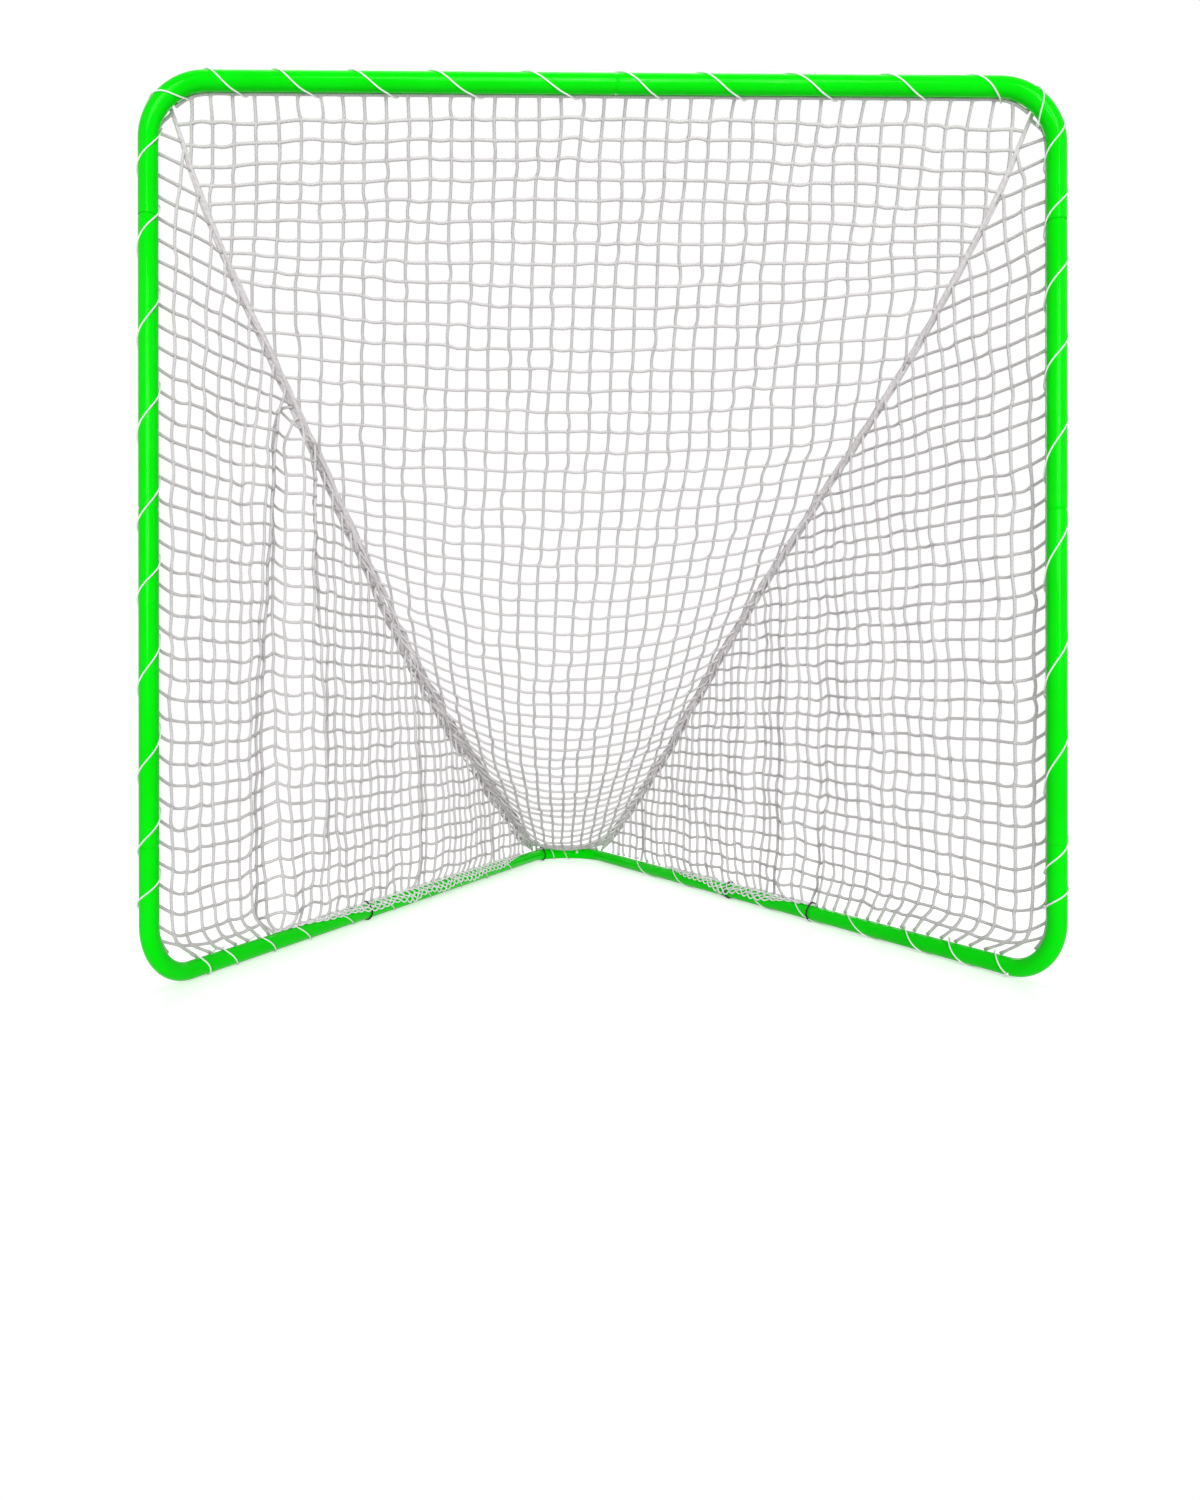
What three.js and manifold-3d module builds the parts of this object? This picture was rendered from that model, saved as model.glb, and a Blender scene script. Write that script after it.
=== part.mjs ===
// A full-size lacrosse goal: eleven steel tubes held together by snap buttons, with a laced-on net.
// Millimetres, +Z up. The mouth faces -Y, the net runs back to +Y, and the goal stands on z = 0.
import * as THREE from 'three';
import { mergeVertices } from 'three/addons/utils/BufferGeometryUtils.js';
import Module from 'manifold-3d';

const wasm = await Module();
wasm.setup();

// Goal frame: overall sizes
const MOUTH_WIDTH = 1830;
const GOAL_HEIGHT = 1810;
const GOAL_DEPTH = 1915;
const CORNER_BEND_RADIUS = 115;
const REAR_BEND_RADIUS = 140;

// Tubes and the swaged ends that slip into their neighbours
const TUBE_DIAMETER = 38.1;
const TUBE_WALL = 1.5;
const SWAGE_DIAMETER = 34.5;
const SWAGE_INSERT = 64;
const SWAGE_TAPER = 5.5;
const SHOULDER_GAP = 0.6;
const TUBE_SIDES = 12;
const CORNER_BEND_STEPS = 6;
const REAR_BEND_STEPS = 10;

// Where the tubes meet, measured on the outside of the frame
const CROSSBAR_JOINT_OFFSET = 20;
const CORNER_STUB_LENGTH = 285;
const UPPER_POST_LENGTH = 575;
const BASE_CORNER_LENGTH = 934;
const REAR_STUB_LENGTH = 300;

// Snap buttons and their leaf springs
const BUTTON_DIAMETER = 7.6;
const BUTTON_HOLE_DIAMETER = 8.4;
const BUTTON_SETBACK = 30;
const BUTTON_PROUD = 3.5;
const BUTTON_DOME = 1.6;
const BUTTON_CROWN_SHARE = 0.25;
const BUTTON_FLANGE_DIAMETER = 9.4;
const BUTTON_FLANGE_THICKNESS = 0.8;
const BUTTON_BORE_CLEARANCE = 1;
const BUTTON_SIDES = 8;
const SPRING_THICKNESS = 0.8;
const SPRING_WIDTH = 7;
const SPRING_LENGTH = 50;
const SPRING_TOE = 7;
const SPRING_SEAT = 6;
const SPRING_BEND_HEIGHT = 3.2;
const SPRING_CLEARANCE = 0.3;
const SPRING_FOOT_CLEARANCE = 0.7;

// Lacing cord
const LACE_DIAMETER = 3;
const LACE_CLEARANCE = 0.2;
const LACE_STEPS = 8;
const LACE_SIDES = 4;
const LACE_KEEP_AWAY = 9;
const LACE_TAIL_STEPS = 2;
const LACE_FLAT_SHARE = 0.1;
const CROSSBAR_WRAPS = 10;
const POST_WRAPS = 9;
const LEG_WRAPS = 18;
const REAR_WRAPS = 4;
const REAR_GAPS_PER_WRAP = 2;
const REAR_FIRST_GAP = 3;
const REAR_GAP_SHARE = 0.35;

// Net
const NET_CORD_DIAMETER = 4;
const NET_CLEARANCE = 0.3;
const NET_TOP_ANGLE = THREE.MathUtils.degToRad(45);
const NET_SIDE_SHORTFALL = 150;
const NET_BACK_COLUMNS = 12;
const NET_BACK_ROWS = 7;
const NET_SIDE_COLUMNS = 10;
const NET_SIDE_ROWS = 9;
const NET_BACK_SAG = 200;

// Ropes along the edges where the back and side panels meet
const RIDGE_DIAMETER = 8;
const RIDGE_SAG_LEFT = 150;
const RIDGE_SAG_RIGHT = 70;
const RIDGE_STEPS = 14;
const RIDGE_SIDES = 6;

// Elastic loops with balls that hold the net down to the base
const BUNGEE_DIAMETER = 4;
const BUNGEE_BALL_DIAMETER = 25;
const BUNGEE_WRAP_LEFT = 7;
const BUNGEE_WRAP_RIGHT_REAR = 7;
const BUNGEE_WRAP_RIGHT_FRONT = 11;
const BUNGEE_GROUND_GAP = 0.4;
const BUNGEE_SIDES = 6;
const BUNGEE_STEPS = 8;
const BUNGEE_ENTRY_SHARE = 0.35;
const BUNGEE_REAR_PLACE = 2.25;
const BUNGEE_BORE_CLEARANCE = 0.3;
const BALL_COLUMNS = 10;
const BALL_ROWS = 7;

// Cuts run this far past what they cut
const OVERRUN = 5;

// Sizes worked out from those above
const TUBE_RADIUS = TUBE_DIAMETER / 2;
const LACE_RADIUS = LACE_DIAMETER / 2;
const NET_CORD_RADIUS = NET_CORD_DIAMETER / 2;
const RIDGE_RADIUS = RIDGE_DIAMETER / 2;
const LACE_HALF_STEP = Math.PI / LACE_STEPS;
const LACE_PATH_RADIUS = (TUBE_RADIUS + LACE_CLEARANCE) / Math.cos(LACE_HALF_STEP) + LACE_RADIUS;
const LACE_DEPTH = (LACE_PATH_RADIUS + LACE_RADIUS) * Math.cos(LACE_HALF_STEP);
const BASE_AXIS_HEIGHT = LACE_DEPTH - LACE_FLAT_SHARE * LACE_DIAMETER;
const TOP_AXIS_HEIGHT = GOAL_HEIGHT - TUBE_RADIUS;
const POST_X = MOUTH_WIDTH / 2 - TUBE_RADIUS;
const REAR_CENTRE_Y = GOAL_DEPTH - TUBE_DIAMETER - REAR_BEND_RADIUS;
const REAR_REACH = Math.hypot(POST_X, REAR_CENTRE_Y);
const LEG_ANGLE = Math.atan2(POST_X, REAR_CENTRE_Y) - Math.asin(REAR_BEND_RADIUS / REAR_REACH);
const LEG_LENGTH = Math.sqrt(REAR_REACH ** 2 - REAR_BEND_RADIUS ** 2);
const BORDER_OFFSET = TUBE_RADIUS + NET_CLEARANCE + NET_CORD_RADIUS;

const UP = new THREE.Vector3(0, 0, 1);
const REARWARD = new THREE.Vector3(0, 1, 0);

// Materials
function paint(colour, roughness, metalness) {
  return new THREE.MeshStandardMaterial({ color: colour, roughness, metalness });
}
const GREEN_PAINT = [0x08c414, 0.3, 0.1];
const STEEL = [0xb9bcc0, 0.3, 0.9];
const WHITE_CORD = [0xf0f0ee, 0.8, 0];
const NET_CORD = [0xc9c6c4, 0.85, 0];
const BLACK_ELASTIC = [0x141414, 0.7, 0];
const BLACK_PLASTIC = [0x101010, 0.35, 0];

const goal = new THREE.Group();

function addPiece(name, geometry, finish) {
  const mesh = new THREE.Mesh(geometry, paint(...finish));
  mesh.name = name;
  goal.add(mesh);
  return mesh;
}

// Closed bodies
function signedVolume(positions, index) {
  const corner = [new THREE.Vector3(), new THREE.Vector3(), new THREE.Vector3()];
  let volume = 0;
  for (let i = 0; i < index.length; i += corner.length) {
    corner.forEach((point, k) => point.fromArray(positions, index[i + k] * corner.length));
    volume += corner[0].dot(corner[1].clone().cross(corner[2]));
  }
  return volume;
}

function bodyFrom(positions, index) {
  const geometry = new THREE.BufferGeometry();
  const faces = signedVolume(positions, index) < 0 ? [...index].reverse() : index;
  geometry.setAttribute('position', new THREE.Float32BufferAttribute(positions, 3));
  geometry.setIndex(faces);
  return geometry;
}

function solidFrom(geometry) {
  const bare = geometry.clone();
  bare.deleteAttribute('normal');
  bare.deleteAttribute('uv');
  const merged = mergeVertices(bare);
  const positions = merged.getAttribute('position').array;
  const index = merged.getIndex().array;
  const faces = signedVolume(positions, index) < 0 ? index.slice().reverse() : index;
  return new wasm.Manifold(new wasm.Mesh({
    numProp: 3,
    vertProperties: Float32Array.from(positions),
    triVerts: Uint32Array.from(faces),
  }));
}

function geometryFrom(solid) {
  const mesh = solid.getMesh();
  return bodyFrom(Array.from(mesh.vertProperties), Array.from(mesh.triVerts));
}

// The frame's centre line: a closed loop that starts at the middle of the crossbar and runs to the left.
// Each stretch carries a facing direction with it, so that the facets of all tubes line up at their joints.
class Route {
  constructor(point, tangent, facing) {
    this.stretches = [];
    this.length = 0;
    this.end = { point, tangent, facing };
  }

  line(length) {
    const { point, tangent, facing } = this.end;
    this.stretches.push({ start: this.length, length, point, tangent, facing });
    this.length += length;
    this.end = this.at(this.length);
    return this;
  }

  bend(radius, towards) {
    const { point, tangent, facing } = this.end;
    const axis = tangent.clone().cross(towards).normalize();
    const centre = axis.clone().cross(tangent).multiplyScalar(radius).add(point);
    const length = radius * tangent.angleTo(towards);
    this.stretches.push({ start: this.length, length, point, tangent, facing, axis, centre, radius });
    this.length += length;
    this.end = this.at(this.length);
    return this;
  }

  // The point on the centre line at a distance along it, with its directions
  at(distance) {
    const total = this.length;
    const laps = distance > total || distance < 0 ? Math.floor(distance / total) : 0;
    const along = distance - laps * total;
    const stretch = this.stretches.findLast((item) => item.start <= along);
    const { point, tangent, facing, axis, centre, radius } = stretch;
    const past = along - stretch.start;
    if (!axis) {
      return {
        point: point.clone().addScaledVector(tangent, past),
        tangent,
        facing,
        across: tangent.clone().cross(facing),
      };
    }
    const angle = past / radius;
    const turned = tangent.clone().applyAxisAngle(axis, angle);
    const carried = facing.clone().applyAxisAngle(axis, angle);
    const bent = point.clone().sub(centre).applyAxisAngle(axis, angle).add(centre);
    return {
      point: bent,
      inward: centre.clone().sub(bent).normalize(),
      tangent: turned,
      facing: carried,
      across: turned.clone().cross(carried),
    };
  }

  // The direction square to the centre line at an angle from its facing direction
  direction(distance, angle) {
    const { facing, across } = this.at(distance);
    return facing.clone().multiplyScalar(Math.cos(angle)).addScaledVector(across, Math.sin(angle));
  }

  // A point beside the centre line
  beside(distance, angle, offset) {
    return this.at(distance).point.clone().addScaledVector(this.direction(distance, angle), offset);
  }
}

// The inner side of the rear bend swells between its steps
function swellAt(distance, direction) {
  const { inward } = route.at(distance);
  return inward ? REAR_SWELL * Math.max(0, direction.dot(inward)) : 0;
}

const LEG_DIRECTION_LEFT = new THREE.Vector3(Math.sin(LEG_ANGLE), Math.cos(LEG_ANGLE), 0);
const LEG_DIRECTION_RIGHT = new THREE.Vector3(Math.sin(LEG_ANGLE), -Math.cos(LEG_ANGLE), 0);
const HALF_CROSSBAR = POST_X - CORNER_BEND_RADIUS;
const POST_STRAIGHT = TOP_AXIS_HEIGHT - BASE_AXIS_HEIGHT - 2 * CORNER_BEND_RADIUS;
const LEG_STRAIGHT = LEG_LENGTH - CORNER_BEND_RADIUS;
const QUARTER_BEND = CORNER_BEND_RADIUS * Math.PI / 2;
const REAR_BEND_ANGLE = Math.PI - 2 * LEG_ANGLE;
const REAR_HALF_STEP = REAR_BEND_ANGLE / REAR_BEND_STEPS / 2;
const REAR_SWELL = (REAR_BEND_RADIUS - TUBE_RADIUS) * (1 / Math.cos(REAR_HALF_STEP) - 1);

const route = new Route(new THREE.Vector3(0, 0, TOP_AXIS_HEIGHT), new THREE.Vector3(-1, 0, 0), REARWARD)
  .line(HALF_CROSSBAR)
  .bend(CORNER_BEND_RADIUS, UP.clone().negate())
  .line(POST_STRAIGHT)
  .bend(CORNER_BEND_RADIUS, LEG_DIRECTION_LEFT)
  .line(LEG_STRAIGHT)
  .bend(REAR_BEND_RADIUS, LEG_DIRECTION_RIGHT)
  .line(LEG_STRAIGHT)
  .bend(CORNER_BEND_RADIUS, UP)
  .line(POST_STRAIGHT)
  .bend(CORNER_BEND_RADIUS, new THREE.Vector3(-1, 0, 0))
  .line(HALF_CROSSBAR);

// Distances along the left half of the route. The right half mirrors them.
const POST_TOP = HALF_CROSSBAR + QUARTER_BEND;
const POST_FOOT = POST_TOP + POST_STRAIGHT;
const LEG_FRONT = POST_FOOT + QUARTER_BEND;
const LEG_REAR = LEG_FRONT + LEG_STRAIGHT;
const TOP_CORNER_EDGE = TUBE_RADIUS + CORNER_BEND_RADIUS;
const JOINT_POST_TOP = POST_TOP + CORNER_STUB_LENGTH - TOP_CORNER_EDGE;
const JOINT_POST_MIDDLE = JOINT_POST_TOP + UPPER_POST_LENGTH;
const JOINT_POST_FOOT = POST_FOOT - (CORNER_STUB_LENGTH - TOP_CORNER_EDGE);
const JOINT_BASE_FRONT = LEG_FRONT + BASE_CORNER_LENGTH - TOP_CORNER_EDGE;
const JOINT_BASE_REAR = LEG_REAR - REAR_STUB_LENGTH;

// Angles round the tubes from the facing direction: the net leaves posts and legs at the leg angle, which
// is straight up on a leg, and buttons face the rear on posts and crossbar and outwards on the base.
const NET_ANGLE = LEG_ANGLE;
const REAR_BUTTON_ANGLE = 0;
const BASE_BUTTON_ANGLE = LEG_ANGLE - Math.PI / 2;

// Joints: the tip points the way that the swaged end goes into its socket
const leftJoints = [
  { name: 'post_top', at: JOINT_POST_TOP, tip: -1, angle: REAR_BUTTON_ANGLE },
  { name: 'post_middle', at: JOINT_POST_MIDDLE, tip: 1, angle: REAR_BUTTON_ANGLE },
  { name: 'post_foot', at: JOINT_POST_FOOT, tip: 1, angle: REAR_BUTTON_ANGLE },
  { name: 'base_front', at: JOINT_BASE_FRONT, tip: -1, angle: BASE_BUTTON_ANGLE },
  { name: 'base_rear', at: JOINT_BASE_REAR, tip: 1, angle: BASE_BUTTON_ANGLE },
];
const joints = [
  { name: 'crossbar', at: -CROSSBAR_JOINT_OFFSET, tip: 1, angle: REAR_BUTTON_ANGLE },
  ...leftJoints.map((joint) => ({ ...joint, name: `${joint.name}_left` })),
  ...leftJoints.map((joint) => ({
    name: `${joint.name}_right`,
    at: route.length - joint.at,
    tip: -joint.tip,
    angle: joint.angle,
  })),
];
joints.forEach((joint) => {
  joint.button = joint.at + joint.tip * BUTTON_SETBACK;
});
const jointNamed = (name) => joints.find((joint) => joint.name === name);

// Tubes
function ring(place, radius, sides) {
  return Array.from({ length: sides }, (_, k) => {
    const angle = (k + 0.5) * 2 * Math.PI / sides;
    return place.point.clone()
      .addScaledVector(place.facing, radius * Math.cos(angle))
      .addScaledVector(place.across, radius * Math.sin(angle));
  });
}

// A hollow body from stations, each with a place on the route, an outer radius and a bore radius
function hollowBody(stations) {
  const positions = [];
  const index = [];
  stations.forEach(({ at, outer, bore }) => {
    const place = route.at(at);
    [...ring(place, outer, TUBE_SIDES), ...ring(place, bore, TUBE_SIDES)].forEach((point) => {
      positions.push(point.x, point.y, point.z);
    });
  });
  const stride = 2 * TUBE_SIDES;
  const quad = (a, b, c, d) => index.push(a, b, c, a, c, d);
  stations.slice(1).forEach((_, i) => {
    for (let k = 0; k < TUBE_SIDES; k += 1) {
      const next = (k + 1) % TUBE_SIDES;
      const here = i * stride;
      const there = here + stride;
      const inside = here + TUBE_SIDES;
      const insideThere = there + TUBE_SIDES;
      quad(here + k, here + next, there + next, there + k);
      quad(inside + next, inside + k, insideThere + k, insideThere + next);
    }
  });
  const last = (stations.length - 1) * stride;
  for (let k = 0; k < TUBE_SIDES; k += 1) {
    const next = (k + 1) % TUBE_SIDES;
    quad(k, TUBE_SIDES + k, TUBE_SIDES + next, next);
    quad(last + next, last + TUBE_SIDES + next, last + TUBE_SIDES + k, last + k);
  }
  return bodyFrom(positions, index);
}

// Stations at a swaged end, from its shoulder to its tip
function swagedEnd(joint) {
  const bore = TUBE_RADIUS - TUBE_WALL;
  const neck = SWAGE_DIAMETER / 2;
  return [
    { at: joint.at - joint.tip * (SHOULDER_GAP + SWAGE_TAPER), outer: TUBE_RADIUS, bore },
    { at: joint.at - joint.tip * SHOULDER_GAP, outer: neck, bore: neck - TUBE_WALL },
    { at: joint.at + joint.tip * SWAGE_INSERT, outer: neck, bore: neck - TUBE_WALL },
  ];
}

function socketEnd(joint) {
  return [{ at: joint.at, outer: TUBE_RADIUS, bore: TUBE_RADIUS - TUBE_WALL }];
}

function bendStations(from, to) {
  return route.stretches
    .filter((stretch) => stretch.axis && stretch.start > from && stretch.start + stretch.length < to)
    .flatMap((stretch) => {
      const steps = stretch.radius === REAR_BEND_RADIUS ? REAR_BEND_STEPS : CORNER_BEND_STEPS;
      return Array.from({ length: steps + 1 }, (_, k) => ({
        at: stretch.start + k * stretch.length / steps,
        outer: TUBE_RADIUS,
        bore: TUBE_RADIUS - TUBE_WALL,
      }));
    });
}

// A solid in the shape of a button hole, standing across one wall of the tube
function buttonPlacement(joint) {
  const out = route.direction(joint.button, joint.angle);
  const along = route.at(joint.button).tangent;
  const basis = new THREE.Matrix4().makeBasis(out.clone().cross(along), out, along.clone().negate());
  return basis.setPosition(route.at(joint.button).point);
}

function holeCutter(joint) {
  const depth = TUBE_RADIUS + OVERRUN - SWAGE_DIAMETER / 4;
  const hole = new THREE.CylinderGeometry(
    BUTTON_HOLE_DIAMETER / 2, BUTTON_HOLE_DIAMETER / 2, depth, BUTTON_SIDES,
  );
  hole.translate(0, SWAGE_DIAMETER / 4 + depth / 2, 0);
  hole.applyMatrix4(buttonPlacement(joint));
  return solidFrom(hole);
}

// Each tube runs from one joint to the next along the route
function addTube(name, first, second, secondAt = second.at) {
  const end = { ...second, at: secondAt, button: secondAt + second.tip * BUTTON_SETBACK };
  const start = first.tip < 0 ? swagedEnd(first).reverse() : socketEnd(first);
  const finish = end.tip > 0 ? swagedEnd(end) : socketEnd(end);
  const stations = [...start, ...bendStations(first.at, secondAt), ...finish];
  const tube = [first, end].reduce(
    (solid, joint) => solid.subtract(holeCutter(joint)),
    solidFrom(hollowBody(stations)),
  );
  addPiece(name, geometryFrom(tube), GREEN_PAINT);
}

const crossbarJoint = jointNamed('crossbar');
addTube('top_corner_tube_left', crossbarJoint, jointNamed('post_top_left'));
addTube('upper_post_tube_left', jointNamed('post_top_left'), jointNamed('post_middle_left'));
addTube('lower_post_tube_left', jointNamed('post_middle_left'), jointNamed('post_foot_left'));
addTube('bottom_corner_tube_left', jointNamed('post_foot_left'), jointNamed('base_front_left'));
addTube('base_leg_tube_left', jointNamed('base_front_left'), jointNamed('base_rear_left'));
addTube('rear_bend_tube', jointNamed('base_rear_left'), jointNamed('base_rear_right'));
addTube('base_leg_tube_right', jointNamed('base_rear_right'), jointNamed('base_front_right'));
addTube('bottom_corner_tube_right', jointNamed('base_front_right'), jointNamed('post_foot_right'));
addTube('lower_post_tube_right', jointNamed('post_foot_right'), jointNamed('post_middle_right'));
addTube('upper_post_tube_right', jointNamed('post_middle_right'), jointNamed('post_top_right'));
addTube(
  'top_corner_tube_right', jointNamed('post_top_right'), crossbarJoint, route.length + crossbarJoint.at,
);

// Snap buttons: a domed pin with a flange that stays inside the bore, and the V spring that carries it
const SWAGE_BORE_FLAT = (SWAGE_DIAMETER / 2 - TUBE_WALL) * Math.cos(Math.PI / TUBE_SIDES);
const FLANGE_TOP = SWAGE_BORE_FLAT - BUTTON_BORE_CLEARANCE;
const FLANGE_BOTTOM = FLANGE_TOP - BUTTON_FLANGE_THICKNESS;
const SPRING_TOP = FLANGE_BOTTOM - SPRING_CLEARANCE;
const SPRING_FOOT = -(SWAGE_BORE_FLAT - SPRING_FOOT_CLEARANCE);

function buttonGeometry() {
  const radius = BUTTON_DIAMETER / 2;
  const top = TUBE_RADIUS + BUTTON_PROUD;
  const outline = [
    new THREE.Vector2(0, FLANGE_BOTTOM),
    new THREE.Vector2(BUTTON_FLANGE_DIAMETER / 2, FLANGE_BOTTOM),
    new THREE.Vector2(BUTTON_FLANGE_DIAMETER / 2, FLANGE_TOP),
    new THREE.Vector2(radius, FLANGE_TOP),
    new THREE.Vector2(radius, top - BUTTON_DOME),
    new THREE.Vector2(radius - BUTTON_DOME, top - BUTTON_CROWN_SHARE * BUTTON_DOME),
    new THREE.Vector2(0, top),
  ];
  return geometryFrom(solidFrom(new THREE.LatheGeometry(outline, BUTTON_SIDES)));
}

// The V lies along the tube, its bend away from the tip and its upper leaf under the button
function springGeometry(tip) {
  const half = SPRING_BEND_HEIGHT / 2;
  const outline = [
    [SPRING_TOE, SPRING_TOP],
    [-SPRING_SEAT, SPRING_TOP],
    [-SPRING_LENGTH, half],
    [-SPRING_LENGTH - half, 0],
    [-SPRING_LENGTH, -half],
    [SPRING_SEAT, SPRING_FOOT],
    [SPRING_SEAT, SPRING_FOOT + SPRING_THICKNESS],
    [-SPRING_LENGTH, -half + SPRING_THICKNESS],
    [-SPRING_LENGTH, half - SPRING_THICKNESS],
    [-SPRING_SEAT, SPRING_TOP - SPRING_THICKNESS],
    [SPRING_TOE, SPRING_TOP - SPRING_THICKNESS],
  ];
  const shape = new THREE.Shape(outline.map(([along, height]) => new THREE.Vector2(-tip * along, height)));
  const leaf = new THREE.ExtrudeGeometry(shape, { depth: SPRING_WIDTH, bevelEnabled: false });
  leaf.translate(0, 0, -SPRING_WIDTH / 2);
  leaf.rotateY(Math.PI / 2);
  leaf.scale(1, 1, -1);
  return geometryFrom(solidFrom(leaf));
}

joints.forEach((joint) => {
  const placement = buttonPlacement(joint);
  const button = addPiece(`snap_button_${joint.name}`, buttonGeometry(), STEEL);
  button.applyMatrix4(placement);
  const spring = addPiece(`spring_clip_${joint.name}`, springGeometry(joint.tip), STEEL);
  spring.applyMatrix4(placement);
});

// Cords: a tube of few sides along points, with the section turned towards given directions
function cordBody(points, towards, radius, sides) {
  const positions = [];
  const index = [];
  points.forEach((point, i) => {
    const before = points[Math.max(i - 1, 0)];
    const after = points[Math.min(i + 1, points.length - 1)];
    const tangent = after.clone().sub(before).normalize();
    const first = towards[i].clone().addScaledVector(tangent, -towards[i].dot(tangent)).normalize();
    const second = tangent.clone().cross(first);
    for (let k = 0; k < sides; k += 1) {
      const angle = k * 2 * Math.PI / sides;
      const corner = point.clone()
        .addScaledVector(first, radius * Math.cos(angle))
        .addScaledVector(second, radius * Math.sin(angle));
      positions.push(corner.x, corner.y, corner.z);
    }
  });
  for (let i = 0; i < points.length - 1; i += 1) {
    for (let k = 0; k < sides; k += 1) {
      const a = i * sides + k;
      const b = i * sides + (k + 1) % sides;
      index.push(a, b, b + sides, a, b + sides, a + sides);
    }
  }
  const last = (points.length - 1) * sides;
  for (let k = 1; k < sides - 1; k += 1) {
    index.push(0, k + 1, k, last, last + k, last + k + 1);
  }
  return bodyFrom(positions, index);
}

// A block below the height given, to cut what stands on the ground flat
function groundCutter(height) {
  const block = new THREE.BoxGeometry(2 * MOUTH_WIDTH, 2 * GOAL_DEPTH + 2 * MOUTH_WIDTH, TUBE_DIAMETER);
  block.translate(0, 0, height - TUBE_DIAMETER / 2);
  return solidFrom(block);
}

// Net stations along the route. The net's border lies beside the tube, and its corners lie on the bends.
function evenly(from, to, gaps) {
  return Array.from({ length: gaps + 1 }, (_, k) => from + (to - from) * k / gaps);
}
const CROSSBAR_GAPS = NET_BACK_COLUMNS - 2;
const POST_GAPS = NET_SIDE_ROWS - 2;
const LEG_GAPS = NET_SIDE_COLUMNS - 1;
const crossbarStations = evenly(HALF_CROSSBAR, -HALF_CROSSBAR, CROSSBAR_GAPS);
const postStations = evenly(POST_FOOT, POST_TOP, POST_GAPS);
const legStations = evenly(LEG_FRONT, LEG_REAR - NET_SIDE_SHORTFALL, LEG_GAPS);
const mirrored = (stations) => stations.map((station) => route.length - station);

// Lacing: each wrap crosses the net inside a gap and passes clear of the snap buttons
function lacePositions(from, to, wraps, strands, netAngle) {
  const pitch = (to - from) / wraps;
  const obstacles = [
    ...strands.map((at) => ({ at, share: 0 })),
    ...joints.map((joint) => {
      const turn = (joint.angle - netAngle) / (2 * Math.PI);
      return { at: joint.button, share: turn - Math.round(turn) };
    }),
  ];
  return Array.from({ length: wraps }, (_, k) => {
    const even = from + (k + 0.5) * pitch;
    return obstacles.reduce((position, obstacle) => {
      const off = position + obstacle.share * pitch - obstacle.at;
      if (Math.abs(off) >= LACE_KEEP_AWAY) {
        return position;
      }
      return position + (off < 0 ? -1 : 1) * LACE_KEEP_AWAY - off;
    }, even);
  });
}

// The distance along the route that a winding has reached after some turns from its first pass of the net
function laceReach(positions, turns) {
  const k = THREE.MathUtils.clamp(Math.floor(turns), 0, positions.length - 2);
  return positions[k] + (positions[k + 1] - positions[k]) * (turns - k);
}

function addLacing(name, from, to, wraps, strands, netAngle, onGround) {
  const positions = lacePositions(from, to, wraps, strands, netAngle);
  const netDepth = BORDER_OFFSET + NET_CORD_RADIUS + NET_CLEARANCE;
  const outerRadius = netDepth / Math.cos(LACE_HALF_STEP) + LACE_RADIUS;
  const points = [];
  const towards = [];
  const first = -LACE_TAIL_STEPS;
  const last = (wraps - 1) * LACE_STEPS + LACE_TAIL_STEPS - 1;
  for (let i = first; i <= last; i += 1) {
    const turns = (i + 0.5) / LACE_STEPS;
    const at = laceReach(positions, turns);
    const angle = netAngle + turns * 2 * Math.PI;
    const nearNet = (i + LACE_STEPS + 1) % LACE_STEPS <= 1;
    const direction = route.direction(at, angle);
    const distance = nearNet ? outerRadius : LACE_PATH_RADIUS;
    points.push(route.beside(at, angle, distance + swellAt(at, direction)));
    towards.push(direction);
  }
  const gap = leastGap(points, LACE_DIAMETER, LACE_STEPS / 2);
  console.log(`${name}: ${wraps} wraps, least gap to itself ${gap.toFixed(1)} mm`);
  const cord = cordBody(points, towards, LACE_RADIUS, LACE_SIDES);
  if (onGround) {
    addPiece(name, geometryFrom(solidFrom(cord).subtract(groundCutter(0))), WHITE_CORD);
  } else {
    addPiece(name, cord, WHITE_CORD);
  }
  return positions;
}

// The least gap between parts of a cord that lie at least some steps apart along it
function leastGap(points, diameter, stepsApart) {
  let least = Infinity;
  points.forEach((point, i) => {
    points.slice(i + stepsApart).forEach((other) => {
      least = Math.min(least, point.distanceTo(other) - diameter);
    });
  });
  return least;
}

addLacing(
  'lacing_crossbar', -HALF_CROSSBAR, HALF_CROSSBAR, CROSSBAR_WRAPS, crossbarStations, NET_TOP_ANGLE,
);
addLacing('lacing_post_left', POST_TOP, POST_FOOT, POST_WRAPS, postStations, NET_ANGLE);
addLacing(
  'lacing_post_right', route.length - POST_FOOT, route.length - POST_TOP, POST_WRAPS,
  mirrored(postStations), NET_ANGLE,
);
const legLaceLeft = addLacing(
  'lacing_leg_left', LEG_FRONT, LEG_REAR - NET_SIDE_SHORTFALL, LEG_WRAPS, legStations, NET_ANGLE, true,
);
const legLaceRight = addLacing(
  'lacing_leg_right', route.length - LEG_REAR + NET_SIDE_SHORTFALL, route.length - LEG_FRONT, LEG_WRAPS,
  mirrored(legStations), NET_ANGLE, true,
);

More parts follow.
